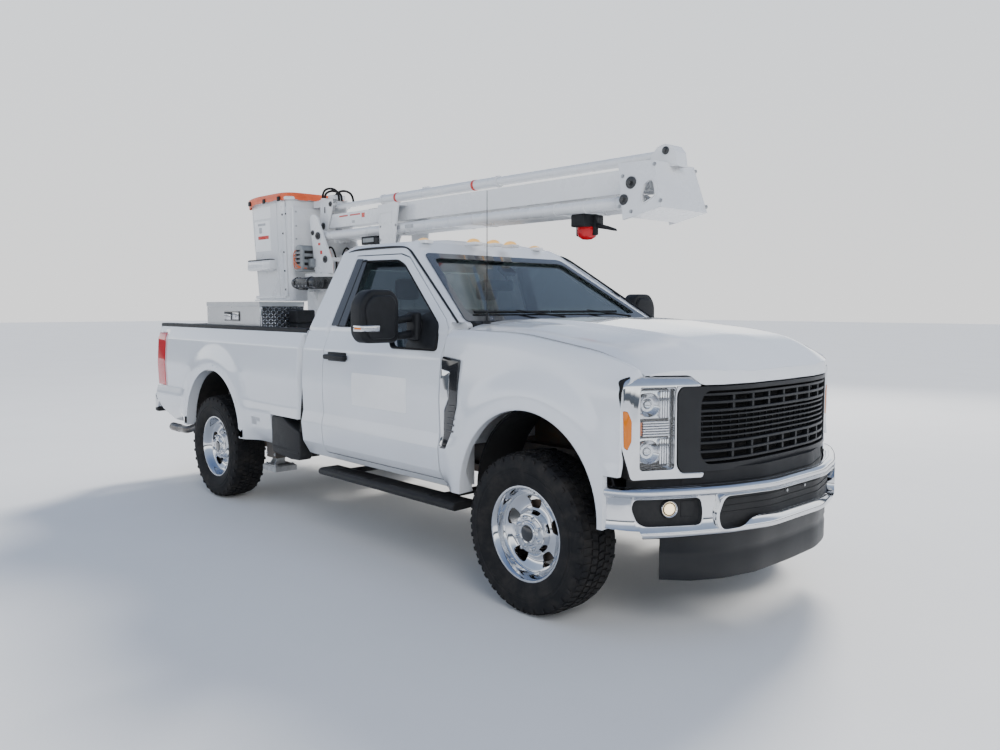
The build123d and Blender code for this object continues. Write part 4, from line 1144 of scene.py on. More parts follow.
def make_windscreen_trim(looks):
    """The black border of the windscreen, its wipers and the cowl below it."""
    bm, tool = bmesh.new(), bmesh.new()
    outer = [(0.020, -0.835), (0.800, -0.622), (0.800, 0.622), (0.020, 0.835)]
    inner = [(0.095, -0.765), (0.735, -0.585), (0.735, 0.585), (0.095, 0.765)]
    plate(bm, rounded(outer, 0.05), "z", 0.0, 0.006, 0.002, 1)
    plate(tool, rounded(inner, 0.05), "z", -0.01, 0.01)
    bm = cut(bm, tool)
    on_screen(bm)
    piece("windscreen_border", bm, "black_gloss", "chassis")
    bm = bmesh.new()
    for y0, y1 in ((0.60, -0.06), (-0.05, -0.70)):
        rod(bm, (0.030, y0, 0.030), (0.115, (y0 + y1) / 2, 0.020), 0.006, 0.005, 10)
        rod(bm, (0.020, y0, 0.008), (0.020, y0, 0.040), 0.014, 0.012, 16, 0.003)
        block(bm, (0.100, 0.112), (y1 - 0.02, y0 - 0.04), (0.010, 0.022), 0.003, 1)
        block(bm, (0.104, 0.109), (y1 - 0.02, y0 - 0.04), (0.0065, 0.012), 0.001, 1)
    on_screen(bm)
    piece("wipers", bm, "black_plastic", "chassis")
    bm = bmesh.new()
    plate(bm, [(3.036, 1.462), (2.985, 1.478), (2.965, 1.470), (2.965, 1.44), (3.036, 1.44)], "y", -0.80, 0.80, 0.003)
    for i in range(-11, 12):
        block(bm, (2.992, 3.026), (i * 0.066 - 0.024, i * 0.066 + 0.024), (1.462, 1.474), 0.003, 1)
    piece("cowl_grille", bm, "black_plastic", "chassis")
    bm = bmesh.new()
    block(bm, (0.62, 0.70), (-0.055, 0.055), (-0.045, -0.012), 0.008)
    rod(bm, (0.66, 0, -0.045), (0.60, 0, -0.10), 0.008)
    on_screen(bm)
    block(bm, (2.33, 2.36), (-0.135, 0.135), (1.66, 1.735), 0.012, 3)
    piece("inside_mirror", bm, "cabin_trim", "chassis")


def make_side_trim(looks):
    """Window surrounds, pillar panels, drip mouldings and mirror feet."""
    for side, sign in SIDES:
        bm = bmesh.new()
        plate(bm, rounded([(1.712, 1.428), (1.795, 1.428), (1.838, 1.868), (1.760, 1.872)], 0.012), "y", -0.004, 0.005,
              0.002, 1)
        plate(bm, rounded([(1.800, 1.428), (1.878, 1.428), (1.884, 1.862), (1.843, 1.866)], 0.008), "y", -0.012, 0.003,
              0.002, 1)
        slice_up(bm, "z", steps(1.46, 1.84, 0.08))
        on_side(bm, sign)
        piece(f"pillar_panels_{side}", bm, "black_gloss", f"door_{side}")
        bm = bmesh.new()
        plate(bm, rounded([(2.585, 1.318), (2.862, 1.316), (2.832, 1.452), (2.715, 1.530), (2.625, 1.500)], 0.02), "y",
              -0.030, 0.006, 0.003)
        slice_up(bm, "z", steps(1.35, 1.5, 0.05))
        on_side(bm, sign)
        piece(f"mirror_foot_{side}", bm, "black_plastic", f"door_{side}")
        bm, tool = bmesh.new(), bmesh.new()
        opening = [(1.770, 1.425), (1.795, 1.855), (2.230, 1.848), (2.320, 1.815), (2.825, 1.460), (2.872, 1.310),
                   (2.440, 1.310), (2.350, 1.425)]
        middle = (2.3, 1.58)
        plate(bm, scaled(rounded(opening, 0.03), middle, 1.012), "y", -0.035, 0.003)
        plate(tool, scaled(rounded(opening, 0.03), middle, 0.972), "y", -0.1, 0.1)
        bm = cut(bm, tool)
        slice_up(bm, "z", steps(1.35, 1.82, 0.06))
        on_side(bm, sign)
        piece(f"window_seal_{side}", bm, "rubber", f"door_{side}")
        drip = [(2.985, 1.475, 1.470), (2.80, 1.60, 1.592), (2.42, 1.85, 1.842), (2.30, 1.935, 1.918),
                (2.20, 1.935, 1.934), (1.90, 1.935, 1.938), (1.64, 1.935, 1.932), (1.585, 1.935, 1.905)]
        hose(f"drip_moulding_{side}", [(x, side_y(level) * sign, z) for x, level, z in drip], 0.007,
             "black_plastic", "chassis")


def make_mirrors(looks):
    """Tall towing mirrors on two arms, with a bright turn lamp and two glasses."""
    for side, sign in SIDES:
        bm = bmesh.new()
        outline = [(1.068, 1.352), (1.290, 1.352), (1.328, 1.40), (1.328, 1.575), (1.268, 1.650),
                   (1.110, 1.650), (1.064, 1.600)]
        plate(bm, across(sign, rounded(outline, 0.045)), "x", 2.566, 2.672, 0.016, 3)
        swell = [(1.10, 1.375), (1.28, 1.375), (1.30, 1.56), (1.25, 1.62), (1.12, 1.62), (1.09, 1.58)]
        plate(bm, across(sign, rounded(swell, 0.04)), "x", 2.660, 2.689, 0.013, 3)
        for z0, z1 in ((1.500, 1.475), (1.405, 1.385)):
            rod(bm, (2.640, sign * 0.905, z0), (2.640, sign * 1.075, z1), 0.026, 0.020, 20)
        block(bm, (2.60, 2.70), between(sign, 0.925, 0.968), (1.360, 1.525), 0.015, 3)
        piece(f"mirror_shell_{side}", bm, "black_plastic", f"door_{side}", stands_for=(f"mirror_{side}",))
        bm = bmesh.new()
        glass = [(1.085, 1.462), (1.307, 1.462), (1.307, 1.565), (1.258, 1.628), (1.118, 1.628), (1.085, 1.590)]
        plate(bm, across(sign, rounded(glass, 0.03)), "x", 2.5635, 2.570, 0.002, 1)
        plate(bm, across(sign, oblong(1.085, 1.300, 1.378, 1.448, 0.025)), "x", 2.5635, 2.570, 0.002, 1)
        piece(f"mirror_glasses_{side}", bm, "mirror_glass", f"door_{side}")
        bm = bmesh.new()
        block(bm, (2.600, 2.690), between(sign, 1.318, 1.3295), (1.418, 1.452), 0.004)
        block(bm, (2.672, 2.6905), between(sign, 1.21, 1.322), (1.418, 1.452), 0.004)
        piece(f"mirror_turn_lamp_{side}", bm, "polished_metal", f"door_{side}")
        bm = bmesh.new()
        block(bm, (2.612, 2.680), between(sign, 1.32, 1.33), (1.428, 1.442), 0.002, 1)
        piece(f"mirror_amber_{side}", bm, "amber_glass", f"door_{side}")


def make_door_fittings(looks):
    """Handles, blank placards and the vent panels behind the front wheels."""
    for side, sign in SIDES:
        bm = bmesh.new()
        block(bm, (1.745, 1.995), between(sign, 0.976, 1.012), (1.212, 1.246), 0.012, 3)
        block(bm, (1.760, 1.980), between(sign, 0.955, 0.984), (1.200, 1.262), 0.010, 2)
        piece(f"door_handle_{side}", bm, "black_plastic", f"door_{side}")
        bm = bmesh.new()
        plate(bm, oblong(2.05, 2.62, 0.935, 1.14, 0.012), "y", -0.01, 0.0012)
        slice_up(bm, "z", steps(0.95, 1.12, 0.04))
        on_body(bm, sign)
        piece(f"door_placard_{side}", bm, "label_white", f"door_{side}")
        bm = bmesh.new()
        plate(bm, rounded([(2.948, 1.285), (3.088, 1.270), (3.084, 1.02), (3.002, 0.775), (2.948, 0.775)], 0.015), "y",
              -0.02, 0.006, 0.003)
        strip = [(2.950, 1.215), (3.022, 1.205), (3.022, 1.05), (2.985, 0.985), (2.968, 0.782), (2.950, 0.782)]
        plate(bm, rounded(strip, 0.008), "y", 0.0, 0.011, 0.002, index=1)
        for i in range(5):
            z = 0.87 + i * 0.035
            block(bm, (2.995 + i * 0.008, 3.058 + i * 0.005), (0.004, 0.009), (z, z + 0.012), 0.002, 1)
        slice_up(bm, "z", steps(0.80, 1.26, 0.05))
        on_body(bm, sign, 0.002)
        piece(f"wing_vent_{side}", bm, "black_gloss chrome", "chassis")


def make_roof_fittings(looks):
    """Five marker lamps along the roof's front edge and a whip aerial."""
    bm = bmesh.new()
    for x, y in MARKERS:
        block(bm, (x - 0.055, x + 0.06), (y - 0.038, y + 0.038), (1.962, 1.985), 0.009, 2)
    piece("marker_bases", bm, "label_white", "chassis")
    bm = bmesh.new()
    for x, y in MARKERS:
        drop = 0.01 if abs(y) > 0.3 else 0.0
        for vert in bmesh.ops.create_uvsphere(bm, u_segments=20, v_segments=10, radius=1.0)["verts"]:
            vert.co = Vector((x + vert.co.x * 0.058, y + vert.co.y * 0.036,
                              1.980 - drop + max(-0.2, vert.co.z) * 0.030))
    piece("marker_lenses", bm, "marker_glass", "chassis", crease=60)
    bm = bmesh.new()
    x, y, z = 3.14, -0.82, 1.462
    rod(bm, (x, y, z), (x, y, z + 0.018), 0.022, 0.018, 20, 0.004)
    rod(bm, (x, y, z + 0.016), (x, y, z + 0.06), 0.008, 0.006, 12)
    rod(bm, (x, y, z + 0.055), (x, y, 2.18), 0.0028, 0.0018, 8)
    piece("aerial", bm, "black_plastic", "bonnet")


# The bed, steps and rear end

REAR_BUMPER = [(-1.160, 0.988), (-1.215, 0.988), (-1.300, 0.880), (-1.320, 0.700)]


def bolt(bm, spot, out, radius=0.008, index=0):
    """A hexagonal bolt head on a washer, standing on a face that looks the way of out."""
    spot, out = Vector(spot), Vector(out).normalized()
    rod(bm, spot - out * 0.002, spot + out * radius * 0.25, radius * 1.4, steps=14, index=index)
    rod(bm, spot, spot + out * radius * 0.9, radius, radius * 0.94, steps=6, index=index)


def make_rear_bumper(looks):
    """A chromed step bumper with black treads, end caps and a recess for a blank plate."""
    bm, tool = bmesh.new(), bmesh.new()
    outline = [(x, -y) for x, y in REAR_BUMPER] + REAR_BUMPER[::-1]
    plate(bm, rounded(outline, 0.03), "z", 0.602, 0.762, 0.014, 3)
    block(tool, (-1.40, -1.288), (-0.20, 0.20), (0.622, 0.80))
    block(tool, (-1.286, -1.10), (-0.93, 0.93), (0.55, 0.745))
    bm = cut(bm, tool)
    piece("rear_bumper_skin", bm, "chrome", "chassis", stands_for=("bumpers",))
    bm = bmesh.new()
    for low, high in ((-0.90, -0.24), (0.24, 0.90)):
        block(bm, (-1.300 if abs(low) < 0.8 else -1.296, -1.185), (low, high), (0.755, 0.7665), 0.004)
        for x in steps(-1.285, -1.195, 0.018):
            block(bm, (x - 0.003, x + 0.003), (low + 0.03, high - 0.03), (0.764, 0.7695), 0.001, 1)
    block(bm, (-1.290, -1.20), (-0.20, 0.20), (0.748, 0.756), 0.003)
    for sign in (1, -1):
        block(bm, (-1.215, -1.145), between(sign, 0.80, 0.990), (0.596, 0.640), 0.016, 3)
    block(bm, (-1.289, -1.284), (-0.199, 0.199), (0.615, 0.757))
    piece("rear_bumper_pads", bm, "black_plastic", "chassis")
    bm = bmesh.new()
    block(bm, (-1.2945, -1.2915), (-0.152, 0.152), (0.630, 0.742), 0.001, 1)
    piece("rear_blank_plate", bm, "label_white", "chassis")
    bm = bmesh.new()
    for y in (-0.1, 0.1):
        bolt(bm, (-1.2945, y, 0.728), (-1, 0, 0), 0.006)
    for sign in (1, -1):
        rod(bm, (-1.290, sign * 0.225, 0.735), (-1.319, sign * 0.225, 0.735), 0.012, steps=16, width=0.003)
    rod(bm, (-1.180, -0.065, 0.515), (-1.180, 0.065, 0.515), 0.009, steps=12)
    piece("rear_bumper_fixings", bm, "zinc", "chassis")


def make_tailgate(looks):
    """The tailgate's pressed skin, latch handle, top cap and ribbed inner lining."""
    bm, tool = bmesh.new(), bmesh.new()
    plate(bm, oblong(-0.838, 0.838, 0.836, 1.384, 0.02), "x", -1.1465, -1.110, 0.004)
    plate(tool, oblong(-0.64, 0.64, 0.985, 1.205, 0.03), "x", -1.16, -1.1395)
    plate(tool, oblong(-0.135, 0.135, 1.245, 1.335, 0.02), "x", -1.16, -1.130)
    bm = cut(bm, tool)
    for z in (0.905, 0.930):
        block(bm, (-1.151, -1.145), (-0.70, 0.70), (z - 0.006, z + 0.006), 0.003)
    piece("tailgate_skin", bm, "body_paint", "tailgate")
    bm = bmesh.new()
    block(bm, (-1.148, -1.104), (-0.842, 0.842), (1.379, 1.394), 0.005)
    block(bm, (-1.136, -1.128), (-0.130, 0.130), (1.248, 1.332), 0.002)
    plate(bm, oblong(-0.105, 0.105, 1.282, 1.322, 0.012), "x", -1.150, -1.134, 0.003)
    piece("tailgate_trim", bm, "black_plastic", "tailgate")
    bm = bmesh.new()
    block(bm, (-1.108, -1.102), (-0.80, 0.80), (0.88, 1.34), 0.002)
    for y in steps(-0.72, 0.72, 0.12):
        block(bm, (-1.1025, -1.097), (y - 0.025, y + 0.025), (0.91, 1.31), 0.003)
    piece("tailgate_lining", bm, "bed_floor_paint", "tailgate")


def make_tail_lamps(looks):
    """Tall red tail lamps that wrap the corner, each with a clear reversing lamp."""
    for side, sign in SIDES:
        wrapped = [(-1.141, 0.860), (-1.141, 0.955), (-1.122, 0.993), (-0.952, 0.993), (-0.952, 0.958),
                   (-1.076, 0.945), (-1.076, 0.860)]
        window = [(-1.1425, 0.885), (-1.1425, 0.945), (-1.139, 0.945), (-1.139, 0.885)]
        for name, outline, low, high, material in (("lens", rounded(wrapped, 0.014), 0.853, 1.317, "red_glass"),
                                                   ("reversing", window, 1.021, 1.085, "label_white")):
            bm = bmesh.new()
            plate(bm, outline, "z", low, high, 0.003)
            slice_up(bm, "z", steps(0.88, 1.30, 0.03))
            for vert in bm.verts:
                if vert.co.y > 0.952:
                    vert.co.y += body_y(vert.co.z) - 0.991
                vert.co.y *= sign
            outward(bm)
            piece(f"tail_lamp_{name}_{side}", bm, material, "chassis",
                  stands_for=("tail_lamps",) if name == "lens" else ())


def make_bed(looks):
    """Floor ribs, inner wall ribs, wheel arch liners, a black seal behind the cab widened to paint the gap's shade, and
    small fittings.
    """
    bm = bmesh.new()
    for y in steps(-0.50, 0.50, 0.1):
        spans = ((-1.09, 1.37),) if abs(y) > 0.36 else ((-1.09, -0.08), (0.62, 1.37))
        for low, high in spans:
            block(bm, (low, high), (y - 0.026, y + 0.026), (0.846, 0.858), 0.006, 2)
    for sign in (1, -1):
        for x in (-0.96, -0.75, -0.54, 0.68, 0.90, 1.12, 1.33):
            block(bm, (x - 0.03, x + 0.03), between(sign, 0.842, 0.852), (0.88, 1.33), 0.006)
    for y in steps(-0.72, 0.72, 0.16):
        block(bm, (1.366, 1.378), (y - 0.035, y + 0.035), (0.90, 1.33), 0.006)
    piece("bed_ribs", bm, "bed_floor_paint", "chassis")
    bm = bmesh.new()
    lathe(bm, [(0.672, 0.468), (0.672, 0.474), (0.935, 0.474), (0.935, 0.468), (0.672, 0.468)],
          (REAR_ARCH_X, 0, ARCH_Z), steps=72)
    outward(bm)
    above(bm, 0.60)
    both_sides(bm)
    piece("rear_arch_liners", bm, "rubber", "chassis")
    # A black rubber strip behind the cab, drawn wider than a seal so that it paints the shade in the gap.
    bm = bmesh.new()
    shape = [(body_y(z) - 0.006, z) for z in steps(1.385, 0.690, 0.06)]
    outline = shape + [(y - 0.05, z) for y, z in reversed(shape)]
    plate(bm, outline, "x", 1.390, 1.4425)
    both_sides(bm)
    block(bm, (1.426, 1.442), (-0.86, 0.86), (0.90, 1.36))
    piece("cab_gap_seal_and_shade", bm, "rubber", "chassis")
    bm = bmesh.new()
    block(bm, (0.700, 0.775), (0.992, 0.9945), (0.676, 0.734), 0.0005, 1)
    block(bm, (0.780, 0.830), (0.992, 0.9945), (0.704, 0.734), 0.0005, 1)
    for vert in bm.verts:
        vert.co.y += body_y(vert.co.z) - 0.9935
        vert.co.y *= -1
    bmesh.ops.reverse_faces(bm, faces=bm.faces)
    piece("bed_sticker", bm, "label_grey", "chassis")
    bm = bmesh.new()
    plate(bm, rounded([(0.86, 1.01), (1.04, 1.01), (1.04, 1.17), (0.86, 1.17)], 0.03), "y", -0.006, 0.003, 0.0015, 1)
    slice_up(bm, "z", steps(1.03, 1.15, 0.04))
    for vert in bm.verts:
        vert.co.y += body_y(vert.co.z)
    piece("fuel_door", bm, "body_paint", "chassis")


def make_steps(looks):
    """Running boards with two ribbed treads each, their brackets and the black steps behind the cab."""
    bm = bmesh.new()
    shape = rounded([(0.832, 0.436), (0.985, 0.432), (0.999, 0.446), (0.999, 0.466), (0.980, 0.479), (0.845, 0.479),
                     (0.832, 0.470)], 0.012)
    plate(bm, shape, "x", 1.650, 3.058, 0.006)
    for x in (1.79, 2.79):
        block(bm, (x - 0.03, x + 0.03), (0.443, 0.86), (0.440, 0.468), 0.006)
        block(bm, (x - 0.045, x + 0.045), (0.443, 0.455), (0.440, 0.60), 0.004)
    for low, high in ((1.80, 2.20), (2.42, 2.82)):
        block(bm, (low, high), (0.862, 0.975), (0.474, 0.4815), 0.004)
        for x in steps(low + 0.02, high - 0.02, 0.02):
            block(bm, (x - 0.003, x + 0.003), (0.872, 0.966), (0.480, 0.4835), 0.001, 1)
    side = rounded([(1.010, 0.770), (1.170, 0.772), (1.255, 0.735), (1.345, 0.704), (1.405, 0.690), (1.417, 0.520),
                    (1.400, 0.490), (1.280, 0.482), (1.020, 0.505), (1.008, 0.545)], 0.02)
    plate(bm, side, "y", 0.902, 0.996, 0.010, 3)
    rib = [(1.03, 0.560), (1.39, 0.548), (1.395, 0.530), (1.03, 0.542)]
    plate(bm, rounded(rib, 0.004), "y", 0.994, 0.999, 0.002, 1)
    block(bm, (1.040, 1.380), (0.82, 0.975), (0.500, 0.522), 0.006)
    for x in steps(1.06, 1.36, 0.025):
        block(bm, (x - 0.004, x + 0.004), (0.83, 0.965), (0.520, 0.526), 0.001, 1)
    block(bm, (1.180, 1.240), (0.441, 0.91), (0.742, 0.762), 0.004)
    both_sides(bm)
    piece("running_board_skins", bm, "black_plastic", "chassis", stands_for=("running_boards",))


def make_underside(looks):
    """The exhaust's tip, the stabiliser legs' feet and the bolts of their guides."""
    bm = bmesh.new()
    lathe(bm, [(-0.952, 0.027), (-0.955, 0.033), (-0.952, 0.036), (-0.80, 0.036), (-0.795, 0.033), (-0.80, 0.030),
               (-0.94, 0.029), (-0.952, 0.027)], (0, -0.93, 0.475), "x", 32)
    outward(bm)
    piece("tailpipe_tip", bm, "exhaust_steel", "chassis")
    for side, sign in SIDES:
        bm = bmesh.new()
        block(bm, (0.612, 0.788), between(sign, 0.688, 0.852), (0.338, 0.348), 0.004)
        for x in (0.630, 0.770):
            for y in (0.700, 0.840):
                bolt(bm, (x, sign * y, 0.348), (0, 0, 1), 0.009)
        for x in (0.662, 0.728):
            plate(bm, [(sign * 0.80, 0.345), (sign * 0.84, 0.345), (sign * 0.80, 0.40)], "x", x, x + 0.01)
        piece(f"leg_foot_{side}", bm, "zinc", f"stabiliser_{side}")
    bm = bmesh.new()
    for sign in (1, -1):
        for z in (0.43, 0.56):
            for x in (0.640, 0.760):
                bolt(bm, (x, sign * 0.840, z), (0, sign, 0), 0.008)
    piece("leg_guide_bolts", bm, "zinc", "chassis")


def lozenge(bm, spot, turn, matrix, size):
    """One raised lozenge of tread plate, drawn on the XY plane and placed by a matrix."""
    place = matrix @ Matrix.Translation(spot) @ Matrix.Rotation(turn, 4, "Z") @ Matrix.Diagonal((1, 0.36, 1, 1))
    bmesh.ops.create_cone(bm, cap_ends=True, segments=6, radius1=0.017 * size, radius2=0.011 * size, depth=0.003,
                          matrix=place)


def make_toolbox(looks):
    """A bright chest with a tread-plate lid and a front whose ground is painted dark for shade and reflection, a paddle
    latch, and the control box beside it.
    """
    facing = Matrix(((0, 0, 1, 0), (1, 0, 0, 0), (0, 1, 0, 0), (0, 0, 0, 1)))
    front = Matrix.Translation((0.603, -0.660, 1.235)) @ facing
    bm = bmesh.new()
    for i, z in enumerate(steps(0.143, 0.307, 0.0235)):
        for j, y in enumerate(steps(-0.170, 0.170, 0.0235)):
            lozenge(bm, (y, z, 0.0), radians(45 if (i + j) % 2 else -45), front, 0.85)
    # Dark ground behind the lozenges: painted shade and reflection on the chest's front.
    block(bm, (0.598, 0.6025), (-0.846, -0.486), (1.362, 1.554), index=1)
    block(bm, (0.595, 0.6045), (-0.858, -0.840), (1.40, 1.552), 0.003)
    block(bm, (-0.333, -0.328), (-0.858, -0.482), (1.40, 1.552), 0.002)
    piece("toolbox_tread", bm, "polished_metal tread_ground", "chassis")
    bm = bmesh.new()
    top = Matrix.Translation((0.135, -0.671, 1.5885))
    for i, x in enumerate(steps(-0.445, 0.445, 0.030)):
        for j, y in enumerate(steps(-0.170, 0.170, 0.030)):
            lozenge(bm, (x, y, 0.0), radians(45 if (i + j) % 2 else -45), top, 1.0)
    for start, end in (((-0.332, -0.861), (0.602, -0.861)), ((0.602, -0.861), (0.602, -0.482)),
                       ((-0.332, -0.861), (-0.332, -0.482))):
        rod(bm, (*start, 1.560), (*end, 1.560), 0.0045, steps=10)
    piece("toolbox_lid_tread", bm, "tread_sheet", "toolbox_lid")
    bm = bmesh.new()
    plate(bm, oblong(0.000, 0.270, 1.437, 1.517, 0.014), "y", -0.866, -0.858, 0.002)
    piece("toolbox_latch_frame", bm, "black_gloss", "chassis")
    bm = bmesh.new()
    plate(bm, oblong(0.150, 0.256, 1.450, 1.504, 0.010), "y", -0.868, -0.864, 0.002)
    plate(bm, oblong(0.014, 0.130, 1.446, 1.490, 0.008), "y", -0.873, -0.864, 0.003)
    rod(bm, (0.205, -0.872, 1.477), (0.205, -0.862, 1.477), 0.011, steps=20, width=0.002)
    for x in (-0.20, 0.45):
        block(bm, (x - 0.03, x + 0.03), (-0.480, -0.470), (1.53, 1.585), 0.003)
    piece("toolbox_latch", bm, "polished_metal", "chassis")
    bm = bmesh.new()
    for span in ((1.430, 1.527), (1.328, 1.424)):
        block(bm, (0.645, 0.772), (-0.642, -0.478), span, 0.012, 3)
    block(bm, (0.655, 0.760), (-0.630, -0.490), (1.400, 1.450))
    block(bm, (0.600, 0.650), (-0.600, -0.520), (1.380, 1.450), 0.004)
    for z in (1.352, 1.454):
        for y in (-0.625, -0.495):
            bolt(bm, (0.772, y, z), (1, 0, 0), 0.006)
    piece("control_box_skin", bm, "black_plastic", "chassis", stands_for=("control_box",))


# The lift

BUCKET_LOW_Z = 1.605
BUCKET_HIGH_Z = 2.490
ROTATOR = (0.100, 0.160)
LINK_PIN = (0.217, 2.174)
CYLINDER_FOOT = (0.412, 1.945)
CYLINDER_EYE = (1.102, 2.054)
ARM_END = (3.587, 2.144)
TIP_PIN = (0.250, 2.233)
TIP_TOP_PIN = (0.368, 2.409)
LEVEL_EAR = (3.747, 2.409)
LEVEL_TUBE_Z = 2.393
SLEEVE_R = 0.035
SLEW_MOTOR = (-0.305, 1.748)


def band(middle, radius, width, proud):
    """The profile of a band round a tube."""
    low, high = middle - width / 2, middle + width / 2
    return [(low, radius), (low, radius + proud), (high, radius + proud), (high, radius), (low, radius)]


def level_ring(bm, x, width, proud=0.0025):
    """A band round the levelling tube."""
    lathe(bm, band(x, SLEEVE_R, width, proud), (0, 0, LEVEL_TUBE_Z), "x", 40)


def pin_cap(bm, spot, low, high, radius, index=0):
    """A pin's round head on both sides of the lift, with a bolt in its middle."""
    for sign in (1, -1):
        rod(bm, (spot[0], sign * low, spot[1]), (spot[0], sign * high, spot[1]), radius, steps=28, width=0.003,
            index=index)
        bolt(bm, (spot[0], sign * high, spot[1]), (0, sign, 0), radius * 0.42, index)


def make_pedestal(looks):
    """Gussets, bolts and the slewing drive's housing, motor and bolts."""
    bm = bmesh.new()
    for turn in range(4):
        arm = bmesh.new()
        for y in (-0.11, 0.11):
            plate(arm, [(0.158, 0.874), (0.300, 0.874), (0.300, 0.895), (0.158, 1.06)], "y", y - 0.006, y + 0.006,
                  0.002, 1)
        plate(arm, [(0.158, 1.688), (0.205, 1.688), (0.158, 1.60)], "y", -0.006, 0.006, 0.002, 1)
        bmesh.ops.rotate(arm, verts=arm.verts, cent=(0, 0, 0), matrix=Matrix.Rotation(turn * pi / 2, 3, "Z"))
        bmesh.ops.translate(arm, verts=arm.verts, vec=(SLEW_X, 0, 0))
        join(bm, arm)
    plate(bm, oblong(SLEW_X - 0.10, SLEW_X + 0.10, 1.18, 1.52, 0.02), "y", -0.166, -0.158, 0.003)
    piece("pedestal_gussets", bm, "boom_paint", "chassis")
    bm = bmesh.new()
    for x in (-0.28, 0.28):
        for y in (-0.28, 0.0, 0.28):
            bolt(bm, (SLEW_X + x, y, 0.877), (0, 0, 1), 0.014)
    for x in (-0.085, 0.085):
        for z in (1.20, 1.35, 1.50):
            bolt(bm, (SLEW_X + x, -0.166, z), (0, -1, 0), 0.006)
    for turn in range(24):
        angle = radians(turn * 15 + 7)
        bolt(bm, (SLEW_X + 0.198 * cos(angle), 0.198 * sin(angle), 1.687), (0, 0, -1), 0.008)
    piece("pedestal_bolts", bm, "zinc", "chassis")
    bm = bmesh.new()
    cap = [(-0.014, 0.0), (-0.010, 0.022), (0.004, 0.038), (0.024, 0.0445), (0.040, 0.0445)]
    lathe(bm, cap, (0.166, *SLEW_MOTOR), "x")
    for x in (0.215, 0.430):
        rod(bm, (x - 0.008, *SLEW_MOTOR), (x + 0.008, *SLEW_MOTOR), 0.052, steps=36, width=0.003)
    rod(bm, (0.438, *SLEW_MOTOR), (0.518, *SLEW_MOTOR), 0.0455, steps=36, width=0.008)
    block(bm, (0.225, 0.420), (-0.345, -0.27), (1.708, 1.788), 0.012, 3)
    block(bm, (0.245, 0.330), (-0.330, -0.28), (1.688, 1.712), 0.006)
    for z in (1.716, 1.786):
        lathe(bm, band(z, 0.240, 0.012, 0.004), (SLEW_X, 0, 0), "z", 72)
    outward(bm)
    piece("slew_housing", bm, "dark_metal", "turret")
    bm = bmesh.new()
    for x in (0.223, 0.422):
        for turn in range(6):
            angle = radians(turn * 60 + 30)
            bolt(bm, (x, SLEW_MOTOR[0] + 0.046 * cos(angle), SLEW_MOTOR[1] + 0.046 * sin(angle)), (1, 0, 0), 0.0045)
    for turn in range(24):
        angle = radians(turn * 15)
        if abs(0.212 * sin(angle)) < 0.13 or abs(0.212 * sin(angle)) > 0.175:
            bolt(bm, (SLEW_X + 0.212 * cos(angle), 0.212 * sin(angle), 1.828), (0, 0, 1), 0.008)
    for x in (0.24, 0.29, 0.35, 0.40):
        bolt(bm, (x, -0.345, 1.722), (0, -1, 0), 0.005)
    piece("slew_bolts", bm, "zinc", "turret")


def make_turret(looks):
    """Pin heads and red marks on the turret, its valve block with louvres, wires and hose loops."""
    bm = bmesh.new()
    pin_cap(bm, ARM_PIVOT, 0.161, 0.174, 0.032)
    pin_cap(bm, LINK_PIN, 0.161, 0.169, 0.022)
    pin_cap(bm, CYLINDER_FOOT, 0.161, 0.172, 0.030)
    piece("turret_pins", bm, "dark_metal", "turret")
    bm = bmesh.new()
    block(bm, (0.33, 0.36), (-0.1635, -0.160), (1.99, 2.02), 0.001, 1)
    block(bm, (0.30, 0.335), (-0.1635, -0.160), (2.065, 2.085), 0.001, 1)
    piece("turret_marks", bm, "ring_red", "turret")
    bm = bmesh.new()
    outline = rounded([(0.062, 1.853), (0.193, 1.853), (0.193, 2.073), (0.062, 2.073)], 0.055)
    plate(bm, outline, "y", -0.250, -0.132, 0.006, 3)
    block(bm, (0.060, 0.196), (-0.254, -0.130), (1.850, 1.866), 0.004)
    block(bm, (0.190, 0.258), (-0.199, -0.162), (1.884, 1.956), 0.006)
    rod(bm, (0.128, -0.19, 2.07), (0.128, -0.19, 2.0735), 0.02)
    tool = bmesh.new()
    for i in range(4):
        z = 1.915 + i * 0.034
        plate(tool, oblong(0.078, 0.150, z, z + 0.015, 0.007), "y", -0.30, -0.235)
    bm = cut(bm, tool)
    piece("valve_cover", bm, "valve_grey", "turret", stands_for=("valve_block",))
    bm = bmesh.new()
    block(bm, (0.073, 0.156), (-0.238, -0.234), (1.905, 2.045))
    for i in range(3):
        block(bm, (0.180, 0.196), (-0.232, -0.152), (1.90 + i * 0.05, 1.925 + i * 0.05), 0.003)
    piece("valve_louvres", bm, "black_plastic", "turret")
    for i, low in enumerate((1.93, 1.96, 1.99)):
        path = [(0.082, -0.240, low + 0.045), (0.070, -0.262, low + 0.03), (0.073, -0.268, low - 0.02),
                (0.100, -0.266, low - 0.065), (0.150, -0.262, 1.885), (0.200, -0.215, 1.875)]
        hose(f"valve_wire_{i + 1}", path, 0.0035, "wire_orange", "turret")
    for i, y in enumerate((-0.10, -0.06, 0.07)):
        path = [(0.262, y, 1.86), (0.275, y * 1.1, 1.95), (0.30, y * 1.2, 2.02), (0.34, y * 1.25, 2.06),
                (0.40, y * 1.2, 2.03), (0.43, y, 1.90), (0.40, y * 0.9, 1.84)]
        hose(f"turret_hose_{i + 1}", path, 0.008, "rubber" if i else "wire_orange", "turret")


